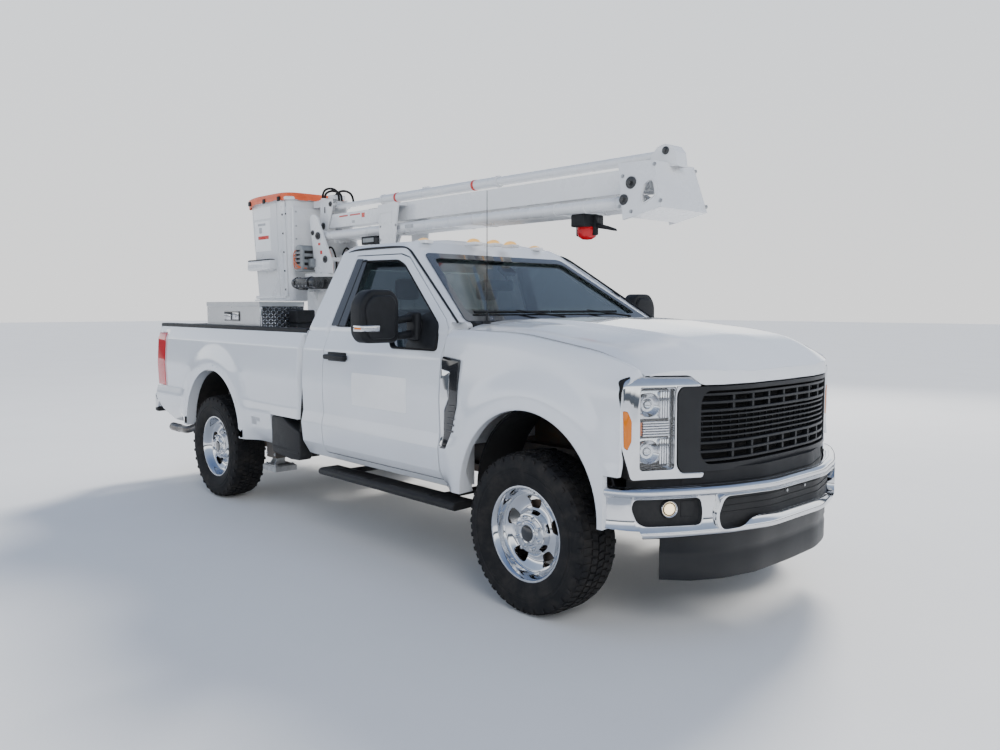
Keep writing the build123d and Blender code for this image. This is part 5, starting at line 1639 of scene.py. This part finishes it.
def make_lower_arm(looks):
    """Weld bands, bolts, blank labels, the lift cylinder's glands and the rest that hangs below the arm."""
    bm = bmesh.new()
    for x in (0.44, 0.98, 1.22, 1.98, 2.22, 2.98, 3.22, 3.46):
        for sign in (1, -1):
            lathe(bm, band(x, 0.035, 0.012, 0.0035), (0, sign * 0.1, ARM_PIVOT[1]), "x", 28)
    outward(bm)
    piece("lower_arm_welds", bm, "boom_paint", "lower_arm")
    bm = bmesh.new()
    for x in (1.03, 1.17, 2.03, 2.17, 3.03, 3.17):
        for y in (-0.05, 0.05):
            bolt(bm, (x, y, 2.141), (0, 0, 1), 0.008)
    piece("lower_arm_bolts", bm, "zinc", "lower_arm")
    bm = bmesh.new()
    block(bm, (3.085, 3.195), (-0.090, 0.090), (2.035, 2.110), 0.008)
    block(bm, (3.060, 3.220), (-0.015, 0.015), (1.985, 2.110), 0.008)
    hook = [(3.21, 2.06), (3.30, 2.035), (3.36, 2.015), (3.365, 2.0), (3.29, 2.015), (3.20, 2.03)]
    plate(bm, rounded(hook, 0.01), "y", -0.012, 0.012, 0.003)
    piece("rest_bracket", bm, "black_plastic", "lower_arm")
    bm = bmesh.new()
    dome = [(1.960, 0.0), (1.964, 0.030), (1.978, 0.052), (2.000, 0.060), (2.036, 0.060), (2.036, 0.0)]
    lathe(bm, dome, (3.14, 0, 0), "z", 36)
    outward(bm)
    piece("rest_lens", bm, "red_glass", "lower_arm")
    foot, eye = [Vector((x, 0, z)) for x, z in (CYLINDER_FOOT, CYLINDER_EYE)]
    along = eye - foot
    bm = bmesh.new()
    for share, thick in ((0.77, 0.05), (0.13, 0.02)):
        rod(bm, foot + along * share, foot + along * (share + thick / along.length), 0.0395, steps=32, width=0.003)
    rod(bm, foot + along * 0.25 + Vector((0, 0, 0.033)), foot + along * 0.25 + Vector((0, 0, 0.05)), 0.012, steps=6)
    piece("cylinder_gland", bm, "dark_metal", "cylinder_barrel")
    bm = bmesh.new()
    for span in ((1.35, 1.42), (1.48, 1.58)):
        block(bm, span, (-0.1365, -0.134), (2.130, 2.158), 0.0008, 1)
    piece("lower_arm_labels", bm, "label_grey", "lower_arm")


def make_boom(looks):
    """Bands, wear pads, blank labels and the collar's raised outline on the telescopic boom."""
    bm = bmesh.new()
    for x in (1.211, 2.114):
        level_ring(bm, x, 0.022)
    outward(bm)
    piece("level_bands", bm, "ring_red", "level_sleeve")
    bm = bmesh.new()
    level_ring(bm, 1.032, 0.026, 0.004)
    level_ring(bm, 2.352, 0.018, 0.005)
    block(bm, (1.530, 1.600), (-0.016, 0.016), (2.424, 2.438), 0.004)
    outward(bm)
    piece("level_collars", bm, "boom_paint", "level_sleeve")
    for side, sign in SIDES:
        bm, tool = bmesh.new(), bmesh.new()
        edges = between(sign, 0.1575, 0.1605)
        plate(bm, oblong(1.190, 1.350, 2.180, 2.268, 0.018), "y", *edges)
        plate(tool, oblong(1.198, 1.342, 2.188, 2.260, 0.012), "y", -1, 1)
        bm = cut(bm, tool)
        piece(f"collar_outline_{side}", bm, "boom_paint", "outer_boom")
    bm = bmesh.new()
    for sign in (1, -1):
        block(bm, (1.155, 1.1665), between(sign, 0.0605, 0.0745), (2.205, 2.330), 0.002)
        block(bm, (1.155, 1.1665), (sign * 0.052 - 0.008, sign * 0.052 + 0.008), (2.324, 2.334), 0.002)
    block(bm, (0.935, 1.140), sorted((-0.157, -0.120)), (2.035, 2.100), 0.006)
    block(bm, (1.120, 1.200), (-0.158, -0.148), (2.040, 2.080), 0.002)
    piece("boom_wear_pads", bm, "black_plastic", "outer_boom")
    bm = bmesh.new()
    block(bm, (0.96, 1.105), (-0.1585, -0.1565), (2.052, 2.084), 0.001, 1)
    piece("bracket_window", bm, "valve_grey", "outer_boom")
    bm = bmesh.new()
    # A flat black strip painted for the shaded opening of a slot.
    block(bm, (0.900, 1.100), (-0.0605, -0.030), (2.3225, 2.3255), 0.001, 1)
    piece("inner_boom_slot_shade", bm, "black_plastic", "inner_boom")
    bm = bmesh.new()
    for low, high, z0, z1 in ((0.47, 0.60, 2.292, 2.304), (0.63, 0.78, 2.292, 2.304), (0.80, 0.845, 2.268, 2.304)):
        block(bm, (low, high), (-0.0612, -0.0598), (z0, z1), 0.0005, 1)
    piece("inner_boom_labels", bm, "ring_red", "inner_boom")
    bm = bmesh.new()
    block(bm, (0.66, 0.70), (-0.0612, -0.0598), (2.232, 2.254), 0.0005, 1)
    piece("inner_boom_tag", bm, "label_grey", "inner_boom")
    bm = bmesh.new()
    for sign in (1, -1):
        for x in (1.20, 1.395):
            for z in (2.06, 2.16):
                if z > 2.1 or x < 1.3:
                    bolt(bm, (x, sign * 0.158, z), (0, sign, 0), 0.007)
        for x in (1.21, 1.30, 1.39):
            bolt(bm, (x, sign * 0.118, 2.325), (0, 0, 1), 0.007)
    piece("collar_bolts", bm, "zinc", "outer_boom")


def make_knuckle(looks):
    """Pin heads, rivets and the rim of the slot on the knuckle box."""
    bm = bmesh.new()
    pin_cap(bm, BOOM_PIVOT, 0.196, 0.209, 0.034)
    pin_cap(bm, ARM_END, 0.206, 0.217, 0.030)
    pin_cap(bm, LEVEL_EAR, 0.050, 0.060, 0.022)
    piece("knuckle_pins", bm, "dark_metal", "boom_knuckle")
    bm = bmesh.new()
    for x, z in ((3.566, 2.275), (3.560, 2.110), (3.645, 2.075), (3.835, 2.118), (3.775, 2.318)):
        for sign in (1, -1):
            y = sign * (0.227 - (z - 2.0) * 0.115)
            bolt(bm, (x, y, z), (0, sign, 0.115), 0.008)
    piece("knuckle_bolts", bm, "zinc", "boom_knuckle")
    bm, tool = bmesh.new(), bmesh.new()
    slot = [(3.706, 2.160), (3.722, 2.220), (3.762, 2.238), (3.782, 2.215), (3.797, 2.150), (3.722, 2.112)]
    middle = (3.752, 2.182)
    plate(bm, rounded(scaled(slot, middle, 1.12), 0.015), "y", 0.0, 0.004)
    plate(tool, rounded(scaled(slot, middle, 0.99), 0.012), "y", -0.1, 0.1)
    bm = cut(bm, tool)
    slice_up(bm, "z", (2.15, 2.20))
    for vert in bm.verts:
        vert.co.y += 0.2265 - (vert.co.z - 2.0) * 0.115
    both_sides(bm)
    piece("knuckle_slot_rims", bm, "boom_paint", "boom_knuckle")


def make_tip(looks):
    """Pins, dark plates painted for a slot's shade, black hose loops at the boom's tip, and bolts on the bucket's
    mount.
    """
    bm = bmesh.new()
    pin_cap(bm, TIP_PIN, 0.077, 0.086, 0.030)
    pin_cap(bm, TIP_TOP_PIN, 0.077, 0.086, 0.022)
    # Each slot is a dark plate: its darkness is the opening's painted shade.
    for sign in (1, -1):
        plate(bm, oblong(0.268, 0.286, 2.340, 2.392, 0.008), "y", *between(sign, 0.0775, 0.0795))
    rod(bm, (ROTATOR[0], ROTATOR[1], 2.400), (ROTATOR[0], ROTATOR[1], 2.458), 0.040, steps=32, width=0.004)
    rod(bm, (ROTATOR[0], ROTATOR[1], 1.990), (ROTATOR[0], ROTATOR[1], 2.012), 0.034, steps=32, width=0.004)
    piece("tip_pins", bm, "dark_metal", "tip_bracket")
    for i, (y, top) in enumerate(((-0.055, 2.538), (-0.036, 2.520), (0.045, 2.530))):
        path = [(0.215, y, 2.440), (0.220, y * 1.2, 2.495), (0.270, y * 1.3, top), (0.360, y * 1.3, top + 0.003),
                (0.450, y * 1.3, top - 0.022), (0.492, y * 1.35, 2.470), (0.498, y * 1.4, 2.425)]
        hose(f"tip_hose_{i + 1}", path, 0.0095, "rubber", "tip_bracket")
    bm = bmesh.new()
    block(bm, (0.300, 0.385), (-0.060, 0.060), (2.452, 2.488), 0.006)
    block(bm, (0.205, 0.245), (-0.075, 0.075), (2.452, 2.470), 0.004)
    piece("tip_valve", bm, "boom_paint", "tip_bracket")
    bm = bmesh.new()
    for y in (-0.225, 0.03):
        for z in (2.13, 2.24, 2.36):
            bolt(bm, (0.052, y, z), (1, 0, 0), 0.006)
    piece("mount_bolts", bm, "zinc", "bucket")


def bucket_y(z):
    """How far out the bucket's long sides stand at a height."""
    return 0.250 + 0.030 * (z - BUCKET_LOW_Z) / (BUCKET_HIGH_Z - BUCKET_LOW_Z)


def on_bucket(bm, sign=-1):
    """Lay a mesh, drawn flat with Y as its height off the surface, on the bucket's leaning side."""
    slice_up(bm, "z", steps(1.65, 2.45, 0.1))
    lay(bm, sign, bucket_y)


def make_bucket(looks):
    """Corner channel, blank placards, bolts, foot rail, a step with its pad and the base plate of the bucket."""
    bm = bmesh.new()
    for outline, radius, proud, width in (
            ([(-0.105, 1.64), (-0.045, 1.64), (-0.035, 2.455), (-0.100, 2.455)], 0.01, 0.012, 0.004),
            ([(-0.200, 1.64), (-0.188, 1.64), (-0.185, 2.455), (-0.198, 2.455)], 0.003, 0.006, 0.003),
            ([(-0.640, 1.62), (-0.090, 1.62), (-0.090, 1.65), (-0.640, 1.65)], 0.006, 0.006, 0.003)):
        plate(bm, rounded(outline, radius), "y", -0.004, proud, width)
    on_bucket(bm)
    block(bm, (-0.655, -0.235), (-0.330, -0.265), (1.872, 1.958), 0.014, 3)
    plate(bm, oblong(-0.695, 0.015, -0.275, 0.275, 0.09), "z", 1.601, 1.615, 0.005)
    piece("bucket_channel", bm, "bucket_shell", "bucket")
    bm = bmesh.new()
    block(bm, (-0.650, -0.240), (-0.327, -0.275), (1.957, 1.966), 0.003)
    for x in steps(-0.63, -0.26, 0.03):
        block(bm, (x - 0.006, x + 0.006), (-0.324, -0.280), (1.965, 1.969), 0.001, 1)
    piece("bucket_step_pad", bm, "black_plastic", "bucket")
    bm = bmesh.new()
    for z in (1.70, 1.86, 2.02, 2.18, 2.34):
        bolt(bm, (-0.072, -bucket_y(z) - 0.012, z), (0, -1, 0), 0.007)
    for x, z in ((-0.05, 2.37), (-0.035, 2.345)):
        bolt(bm, (x, -bucket_y(z) - 0.001, z), (0, -1, 0), 0.006)
    piece("bucket_bolts", bm, "dark_metal", "bucket")
    labels = (("placard", "label_white", ((-0.610, -0.300, 2.330, 2.430), (-0.600, -0.320, 2.045, 2.310))),
              ("stripe", "ring_red", ((-0.545, -0.350, 2.150, 2.180),)),
              ("tag", "label_grey", ((-0.520, -0.470, 2.205, 2.255), (-0.540, -0.400, 2.270, 2.290),
                                     (-0.060, -0.030, 2.405, 2.44))))
    for name, material, boxes in labels:
        bm = bmesh.new()
        for low, high, z0, z1 in boxes:
            proud = 0.0015 if name == "placard" else 0.0028
            plate(bm, oblong(low, high, z0, z1, 0.006), "y", -0.002, proud)
        on_bucket(bm)
        piece(f"bucket_{name}", bm, material, "bucket")


COVER_HALF = (0.398, 0.318)
COVER_X = -0.340
COVER_Z = 2.536
COVER_TOP_SHARE = 0.70
COVER_SKIRT = 0.060
COVER_THICKNESS = 0.0025


def make_cover(looks):
    """A vinyl cover stretched over the bucket's lip, sagging between its clasps."""
    bm = bmesh.new()

    def place(u, v):
        angle = 2 * pi * u
        c, s = cos(angle), sin(angle)
        edge = (abs(c) ** 6 + abs(s) ** 6) ** (-1 / 6)
        out = min(1.0, v / COVER_TOP_SHARE)
        x, y = c * edge * out, s * edge * out
        droop = smooth_step(0.2, 1.0, -x)
        gather = 0.004 * cos(14 * angle) + 0.002 * cos(37 * angle + 1)
        z = COVER_Z - 0.014 * out ** 3 - 0.016 * (1 - out ** 2) * (0.6 + 0.4 * cos(2 * angle))
        z += 0.006 * sin(7 * x + 2) * (1 - out ** 2)
        spread = 0.985
        if v > COVER_TOP_SHARE:
            down = (v - COVER_TOP_SHARE) / (1 - COVER_TOP_SHARE)
            z -= (COVER_SKIRT + 0.018 * droop + gather) * down ** 1.4
            spread = 0.985 + 0.015 * sin(pi * min(1.0, down * 1.4)) + gather * down
        z -= 0.016 * droop * out
        return (COVER_X + COVER_HALF[0] * x * spread, COVER_HALF[1] * y * spread, z)
    surface(bm, 160, 34, place)
    bmesh.ops.remove_doubles(bm, verts=bm.verts, dist=1e-5)
    area = thicken(bm, "z", COVER_THICKNESS)
    cover = piece("bucket_cover_cloth", bm, "cover_orange", "bucket", crease=60, stands_for=("bucket_cover",))
    bm = bmesh.new()
    for x in (-0.61, -0.34, -0.08):
        for sign in (1, -1):
            block(bm, (x - 0.022, x + 0.022), between(sign, 0.312, 0.322), (2.452, 2.492), 0.004)
    for y in (-0.18, 0.18):
        block(bm, (-0.748, -0.736), (y - 0.022, y + 0.022), (2.436, 2.476), 0.004)
    clasps = piece("cover_clasps", bm, "black_plastic", "bucket")


# The cabin

def puffed(bm, swell, voxel=0.009):
    """A closed form remeshed evenly and blown up like stuffed cloth, no point moving further than swell."""
    mesh = bpy.data.meshes.new("pad")
    bm.to_mesh(mesh)
    bm.free()
    thing = bpy.data.objects.new("pad", mesh)
    put_in_scene(thing)
    even = thing.modifiers.new("even", "REMESH")
    even.mode = "VOXEL"
    even.voxel_size = voxel
    rest = bpy.data.meshes.new_from_object(thing.evaluated_get(bpy.context.evaluated_depsgraph_get()))
    thing.modifiers.remove(even)
    thing.data = rest
    air = thing.modifiers.new("air", "CLOTH")
    air.settings.use_pressure = True
    air.settings.uniform_pressure_force = 4
    air.settings.effector_weights.gravity = 0
    air.point_cache.frame_start, air.point_cache.frame_end = 1, 20
    for number in range(1, 21):
        bpy.context.scene.frame_set(number)
    blown = bpy.data.meshes.new_from_object(thing.evaluated_get(bpy.context.evaluated_depsgraph_get()))
    for vert, moved in zip(rest.vertices, blown.vertices):
        move = moved.co - vert.co
        if move.length > swell:
            move *= swell / move.length
        vert.co += move
    bpy.data.meshes.remove(blown)
    bpy.context.scene.frame_set(1)
    result = bmesh.new()
    result.from_mesh(rest)
    bpy.data.objects.remove(thing)
    for data in (rest, mesh):
        bpy.data.meshes.remove(data)
    return result


def pad(name, x, y, z, edge, seams, top):
    """A seat pad with sewn seams. Each seam is (axis, position); top is the axis that the pad faces along."""
    shy = 0.010
    bm = bmesh.new()
    block(bm, (x[0] + shy, x[1] - shy), (y[0] + shy, y[1] - shy), (z[0] + shy, z[1] - shy), edge, 4)
    bm = puffed(bm, 0.012)
    bmesh.ops.smooth_vert(bm, verts=bm.verts, factor=0.5, use_axis_x=True, use_axis_y=True, use_axis_z=True)
    bm.normal_update()
    moves = []
    for vert in bm.verts:
        dip = 0.0
        if vert.normal["xyz".index(top)] > 0.2:
            for axis, position in seams:
                dip = max(dip, 0.009 * math.exp(-((vert.co["xyz".index(axis)] - position) / 0.009) ** 2))
        moves.append(vert.normal * -dip)
    for vert, move in zip(bm.verts, moves):
        vert.co += move
    thing = piece(name, bm, "seat_cloth", "chassis", crease=180, stands_for=("seat",))
    smooth = thing.modifiers.new("smooth", "SUBSURF")
    smooth.levels = smooth.render_levels = 1


def make_seats(looks):
    """A split bench in cloth: three cushions, three backs and two headrests on posts."""
    for name, low, high in (("right", -0.69, -0.135), ("middle", -0.125, 0.125), ("left", 0.135, 0.69)):
        third = (high - low) / 3
        seams = [("y", low + third * 0.75), ("y", high - third * 0.75)] if name != "middle" else []
        pad(f"seat_cushion_{name}", (1.905, 2.328), (low, high), (0.962, 1.088), 0.038, seams + [("x", 2.02)], "z")
        pad(f"seat_back_{name}", (1.762, 1.900), (low, high), (1.085, 1.556), 0.038, seams + [("z", 1.20)], "x")
    for side, sign in SIDES:
        y = between(sign, 0.262, 0.478)
        pad(f"headrest_{side}", (1.777, 1.863), y, (1.590, 1.758), 0.030, [], "x")
    bm = bmesh.new()
    for sign in (1, -1):
        for y in (0.31, 0.43):
            rod(bm, (1.82, sign * y, 1.53), (1.82, sign * y, 1.64), 0.007, steps=12)
    piece("headrest_posts", bm, "chrome", "chassis")
    bm = bmesh.new()
    block(bm, (1.80, 2.30), (-0.65, 0.65), (0.805, 0.958), 0.02, 3)
    block(bm, (1.775, 1.80), (-0.66, 0.66), (0.86, 1.50), 0.01)
    piece("seat_base", bm, "cabin_trim", "chassis", stands_for=("seat",))


def make_dashboard(looks):
    """The dashboard with its hood, screen, vents, glovebox and knobs, and trim inside the doors."""
    bm = bmesh.new()
    shape = rounded([(2.634, 1.155), (2.622, 1.200), (2.626, 1.330), (2.650, 1.420), (2.720, 1.438), (2.922, 1.438),
                     (2.922, 1.155)], 0.025)
    plate(bm, shape, "y", -0.768, 0.768, 0.008)
    hood = rounded([(2.598, 1.330), (2.600, 1.425), (2.640, 1.4395), (2.76, 1.4395), (2.76, 1.330)], 0.02)
    plate(bm, hood, "y", 0.225, 0.575, 0.008)
    plate(bm, oblong(-0.63, -0.24, 1.180, 1.300, 0.02), "x", 2.617, 2.640, 0.004)
    block(bm, (2.612, 2.640), (-0.175, 0.175), (1.165, 1.425), 0.014, 3)
    rod(bm, (2.505, 0.4, 1.2867), (2.70, 0.4, 1.183), 0.034, steps=28, width=0.004)
    piece("dash_skin", bm, "cabin_trim", "chassis", stands_for=("dashboard",))
    bm = bmesh.new()
    plate(bm, oblong(-0.125, 0.125, 1.275, 1.405, 0.01), "x", 2.609, 2.615, 0.002)
    plate(bm, oblong(0.26, 0.54, 1.340, 1.420, 0.02), "x", 2.596, 2.601)
    for y in (-0.68, -0.215, 0.645):
        plate(bm, oblong(y - 0.06, y + 0.06, 1.335, 1.385, 0.01), "x", 2.618, 2.630, 0.002)
    for i in range(4):
        block(bm, (2.610, 2.614), (-0.12 + i * 0.065, -0.075 + i * 0.065), (1.238, 1.258), 0.003)
    piece("dash_screens", bm, "black_gloss", "chassis")
    bm = bmesh.new()
    for y in (-0.68, -0.215, 0.645):
        for z in (1.345, 1.357, 1.369):
            block(bm, (2.615, 2.619), (y - 0.055, y + 0.055), (z, z + 0.004), 0.001, 1)
    for y in (-0.105, 0.105):
        rod(bm, (2.598, y, 1.205), (2.614, y, 1.205), 0.018, 0.020, 24, 0.003)
    piece("dash_knobs", bm, "polished_metal", "chassis")
    for side, sign in SIDES:
        bm = bmesh.new()
        card = [(1.770, 0.660), (2.700, 0.660), (2.800, 0.780), (2.840, 1.290), (2.440, 1.290), (2.350, 1.385),
                (1.775, 1.385)]
        plate(bm, rounded(card, 0.03), "y", *between(sign, 0.862, 0.905), 0.008)
        block(bm, (1.90, 2.45), between(sign, 0.815, 0.870), (1.050, 1.105), 0.016, 3)
        block(bm, (2.05, 2.62), between(sign, 0.835, 0.870), (0.700, 0.820), 0.014, 3)
        piece(f"door_card_{side}", bm, "cabin_trim", f"door_{side}")
        bm = bmesh.new()
        block(bm, (2.48, 2.56), between(sign, 0.853, 0.864), (1.170, 1.200), 0.004)
        piece(f"door_pull_{side}", bm, "polished_metal", f"door_{side}")


# Stage

# The sky's bands of colour as (height from 0 below to 1 above, colour): as it lights, and as it is seen
SKY_LIGHT = ((0.0, (0.5, 0.5, 0.5)), (0.497, (0.4, 0.41, 0.42)), (0.50, (0.14, 0.16, 0.19)),
             (0.53, (0.16, 0.19, 0.24)), (0.545, (2.3, 2.3, 2.25)), (0.60, (1.9, 2.0, 2.1)),
             (0.65, (0.62, 0.74, 0.95)), (1.0, (0.16, 0.25, 0.48)))
SKY_SEEN = ((0.0, (0.9, 0.9, 0.9)), (0.50, (0.93, 0.93, 0.93)), (0.70, (0.84, 0.88, 0.93)))
SKY_LIGHT_STRENGTH = 0.9
SKY_SEEN_STRENGTH = 1.45


def make_sky(light, backdrop):
    """A sky that lights the truck by one set of bands and shows a paler one behind it."""
    world = bpy.data.worlds.new("studio")
    world.use_nodes = True
    bpy.context.scene.world = world
    nodes, links = world.node_tree.nodes, world.node_tree.links
    spot = nodes.new("ShaderNodeTexCoord")
    parts = nodes.new("ShaderNodeSeparateXYZ")
    height = nodes.new("ShaderNodeMapRange")
    height.inputs["From Min"].default_value = -1.0
    links.new(spot.outputs["Generated"], parts.inputs["Vector"])
    links.new(parts.outputs["Z"], height.inputs["Value"])
    mix = nodes.new("ShaderNodeMixShader")
    nodes["Background"].inputs["Strength"].default_value = SKY_LIGHT_STRENGTH
    seen_sky = nodes.new("ShaderNodeBackground")
    seen_sky.inputs["Strength"].default_value = SKY_SEEN_STRENGTH
    for socket, sky, bands in ((1, nodes["Background"], light), (2, seen_sky, backdrop)):
        ramp = nodes.new("ShaderNodeValToRGB")
        stops = ramp.color_ramp.elements
        stops[0].position, stops[0].color = bands[0][0], (*bands[0][1], 1)
        stops[1].position, stops[1].color = bands[-1][0], (*bands[-1][1], 1)
        for position, colour in bands[1:-1]:
            stops.new(position).color = (*colour, 1)
        links.new(height.outputs["Result"], ramp.inputs["Fac"])
        links.new(ramp.outputs["Color"], sky.inputs["Color"])
        links.new(sky.outputs["Background"], mix.inputs[socket])
    seen = nodes.new("ShaderNodeLightPath")
    links.new(seen.outputs["Is Camera Ray"], mix.inputs["Fac"])
    links.new(mix.outputs["Shader"], nodes["World Output"].inputs["Surface"])


def make_stage(looks):
    """A pale floor, soft lights and the camera where the photographer stood."""
    bm = bmesh.new()
    bmesh.ops.create_grid(bm, x_segments=1, y_segments=1, size=80)
    mesh = bpy.data.meshes.new("floor")
    bm.to_mesh(mesh)
    bm.free()
    floor = bpy.data.objects.new("floor", mesh)
    put_in_scene(floor)
    mesh.materials.append(finish("floor_paint", (0.80, 0.80, 0.79), 0.8, stain=(0.77, 0.77, 0.76),
                                 stain_scale=0.8, bump=(60, 0.0006, 3)))
    lamps = (("key_light", (10.0, -5.0, 7.0), (5.0, 5.0), 520, (1.0, 0.98, 0.95)),
             ("fill_light", (-7.0, -9.5, 5.0), (8.0, 5.0), 120, (0.90, 0.95, 1.0)),
             ("rim_light", (-3.0, 10.0, 6.0), (9.0, 4.0), 700, (1.0, 0.96, 0.9)))
    for name, spot, size, power, colour in lamps:
        lamp = bpy.data.lights.new(name, "AREA")
        lamp.shape = "RECTANGLE"
        lamp.size, lamp.size_y = size
        lamp.energy = power * looks.light_power
        lamp.color = colour
        thing = bpy.data.objects.new(name, lamp)
        thing.location = spot
        thing.rotation_euler = (Vector((0, 0, 1)) - Vector(spot)).to_track_quat("-Z", "Y").to_euler()
        thing.visible_glossy = thing.visible_transmission = False
        put_in_scene(thing)
    sun = bpy.data.lights.new("sky_light", "SUN")
    sun.energy = 4.6 * looks.light_power
    sun.angle = radians(14)
    sun.color = (1.0, 0.97, 0.92)
    thing = bpy.data.objects.new("sky_light", sun)
    thing.visible_glossy = thing.visible_transmission = False
    thing.rotation_euler = Vector((0.30, -0.72, -0.62)).to_track_quat("-Z", "Y").to_euler()
    put_in_scene(thing)
    make_sky(SKY_LIGHT, SKY_SEEN)
    camera = bpy.data.cameras.new("camera")
    camera.sensor_width = SENSOR_MM
    camera.lens = FOCAL_PX / IMAGE_WIDTH * SENSOR_MM
    camera.clip_end = 200
    thing = bpy.data.objects.new("camera", camera)
    yaw, pitch = radians(LOOK_YAW), radians(LOOK_PITCH)
    look = Vector((cos(yaw) * cos(pitch), sin(yaw) * cos(pitch), sin(pitch)))
    turn = look.to_track_quat("-Z", "Y").to_matrix() @ Matrix.Rotation(radians(LOOK_ROLL), 3, "Z")
    thing.matrix_world = Matrix.Translation(EYE) @ turn.to_4x4()
    put_in_scene(thing)
    bpy.context.scene.camera = thing


# The add-on's settings, operators and panel

class TruckLooks(bpy.types.PropertyGroup):
    """Colours and sizes that a user would change."""
    body_paint: bpy.props.FloatVectorProperty(
        name="Body paint", description="Colour of the cab, wings, bonnet and bed", subtype="COLOR",
        default=(0.74, 0.765, 0.80), min=0, max=1)
    boom_paint: bpy.props.FloatVectorProperty(
        name="Boom paint", description="Colour of the lift", subtype="COLOR",
        default=(0.76, 0.77, 0.78), min=0, max=1)
    bonnet_rise: bpy.props.FloatProperty(
        name="Bonnet rise", description="How far the middle of the bonnet stands proud",
        default=0.012, min=0, max=0.03, unit="LENGTH")
    light_power: bpy.props.FloatProperty(
        name="Light power", description="Share of the studio lamps' full power", default=1.0, min=0, max=4,
        subtype="FACTOR")


def fit(context, *makers):
    """Run an operator's makers with the truck's settings."""
    for make in makers:
        make(context.scene.truck_looks)
    return {"FINISHED"}


class TRUCK_OT_finishes(bpy.types.Operator):
    """Make every finish and dress the CAD pieces that stay as they are"""
    bl_idname = "truck.finishes"
    bl_label = "Finishes"

    def execute(self, context):
        make_finishes(context.scene.truck_looks)
        for name, nodes in NODE_FINISHES.items():
            for node in nodes.split():
                dress(node, name)
        return {"FINISHED"}


class TRUCK_OT_body(bpy.types.Operator):
    """Shape the cab, doors, wings, bonnet and bed sides"""
    bl_idname = "truck.body"
    bl_label = "Body panels"

    def execute(self, context):
        return fit(context, make_wings, make_bonnet, make_bed_sides, make_doors, make_cab)


class TRUCK_OT_front(bpy.types.Operator):
    """Fit the front bumper, grille and headlamps"""
    bl_idname = "truck.front"
    bl_label = "Front end"

    def execute(self, context):
        return fit(context, make_front_bumper, make_air_dam, make_grille, make_headlamps)


class TRUCK_OT_wheels(bpy.types.Operator):
    """Fit four polished wheels with their tyres"""
    bl_idname = "truck.wheels"
    bl_label = "Wheels and tyres"

    def execute(self, context):
        return fit(context, make_rims, make_tyres)


class TRUCK_OT_cab(bpy.types.Operator):
    """Fit the cab's trim, mirrors, handles, marker lamps and aerial"""
    bl_idname = "truck.cab"
    bl_label = "Cab fittings"

    def execute(self, context):
        return fit(context, make_windscreen_trim, make_side_trim, make_mirrors, make_door_fittings,
                   make_roof_fittings)


class TRUCK_OT_bed(bpy.types.Operator):
    """Fit the rear bumper, tailgate, tail lamps, bed, steps and toolbox"""
    bl_idname = "truck.bed"
    bl_label = "Bed and steps"

    def execute(self, context):
        return fit(context, make_rear_bumper, make_tailgate, make_tail_lamps, make_bed, make_steps,
                   make_underside, make_toolbox)


class TRUCK_OT_lift(bpy.types.Operator):
    """Fit the lift's pins, bolts, hoses, bands, labels, bucket fittings and cover"""
    bl_idname = "truck.lift"
    bl_label = "Lift"

    def execute(self, context):
        return fit(context, make_pedestal, make_turret, make_lower_arm, make_boom, make_knuckle, make_tip,
                   make_bucket, make_cover)


class TRUCK_OT_interior(bpy.types.Operator):
    """Fit the seats, dashboard and door trim"""
    bl_idname = "truck.interior"
    bl_label = "Cabin"

    def execute(self, context):
        return fit(context, make_seats, make_dashboard)


class TRUCK_OT_stage(bpy.types.Operator):
    """Set the floor, lights and camera"""
    bl_idname = "truck.stage"
    bl_label = "Stage"

    def execute(self, context):
        make_stage(context.scene.truck_looks)
        return {"FINISHED"}


OPERATORS = (TRUCK_OT_finishes, TRUCK_OT_body, TRUCK_OT_front, TRUCK_OT_wheels, TRUCK_OT_cab, TRUCK_OT_bed,
             TRUCK_OT_lift, TRUCK_OT_interior, TRUCK_OT_stage)


class TRUCK_PT_sidebar(bpy.types.Panel):
    """Settings and steps of the pickup with a bucket lift"""
    bl_idname = "TRUCK_PT_sidebar"
    bl_label = "Pickup"
    bl_space_type = "VIEW_3D"
    bl_region_type = "UI"
    bl_category = "Pickup"

    def draw(self, context):
        for name in TruckLooks.__annotations__:
            self.layout.prop(context.scene.truck_looks, name)
        for operator in OPERATORS:
            self.layout.operator(operator.bl_idname)


CLASSES = (TruckLooks, *OPERATORS, TRUCK_PT_sidebar)


def register():
    for item in CLASSES:
        bpy.utils.register_class(item)
    bpy.types.Scene.truck_looks = bpy.props.PointerProperty(type=TruckLooks)


def unregister():
    del bpy.types.Scene.truck_looks
    for item in reversed(CLASSES):
        bpy.utils.unregister_class(item)


def main():
    """Add the truck's settings and buttons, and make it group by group."""
    register()
    for operator in OPERATORS:
        group, name = operator.bl_idname.split(".")
        getattr(getattr(bpy.ops, group), name)()


if __name__ == "__main__":
    main()
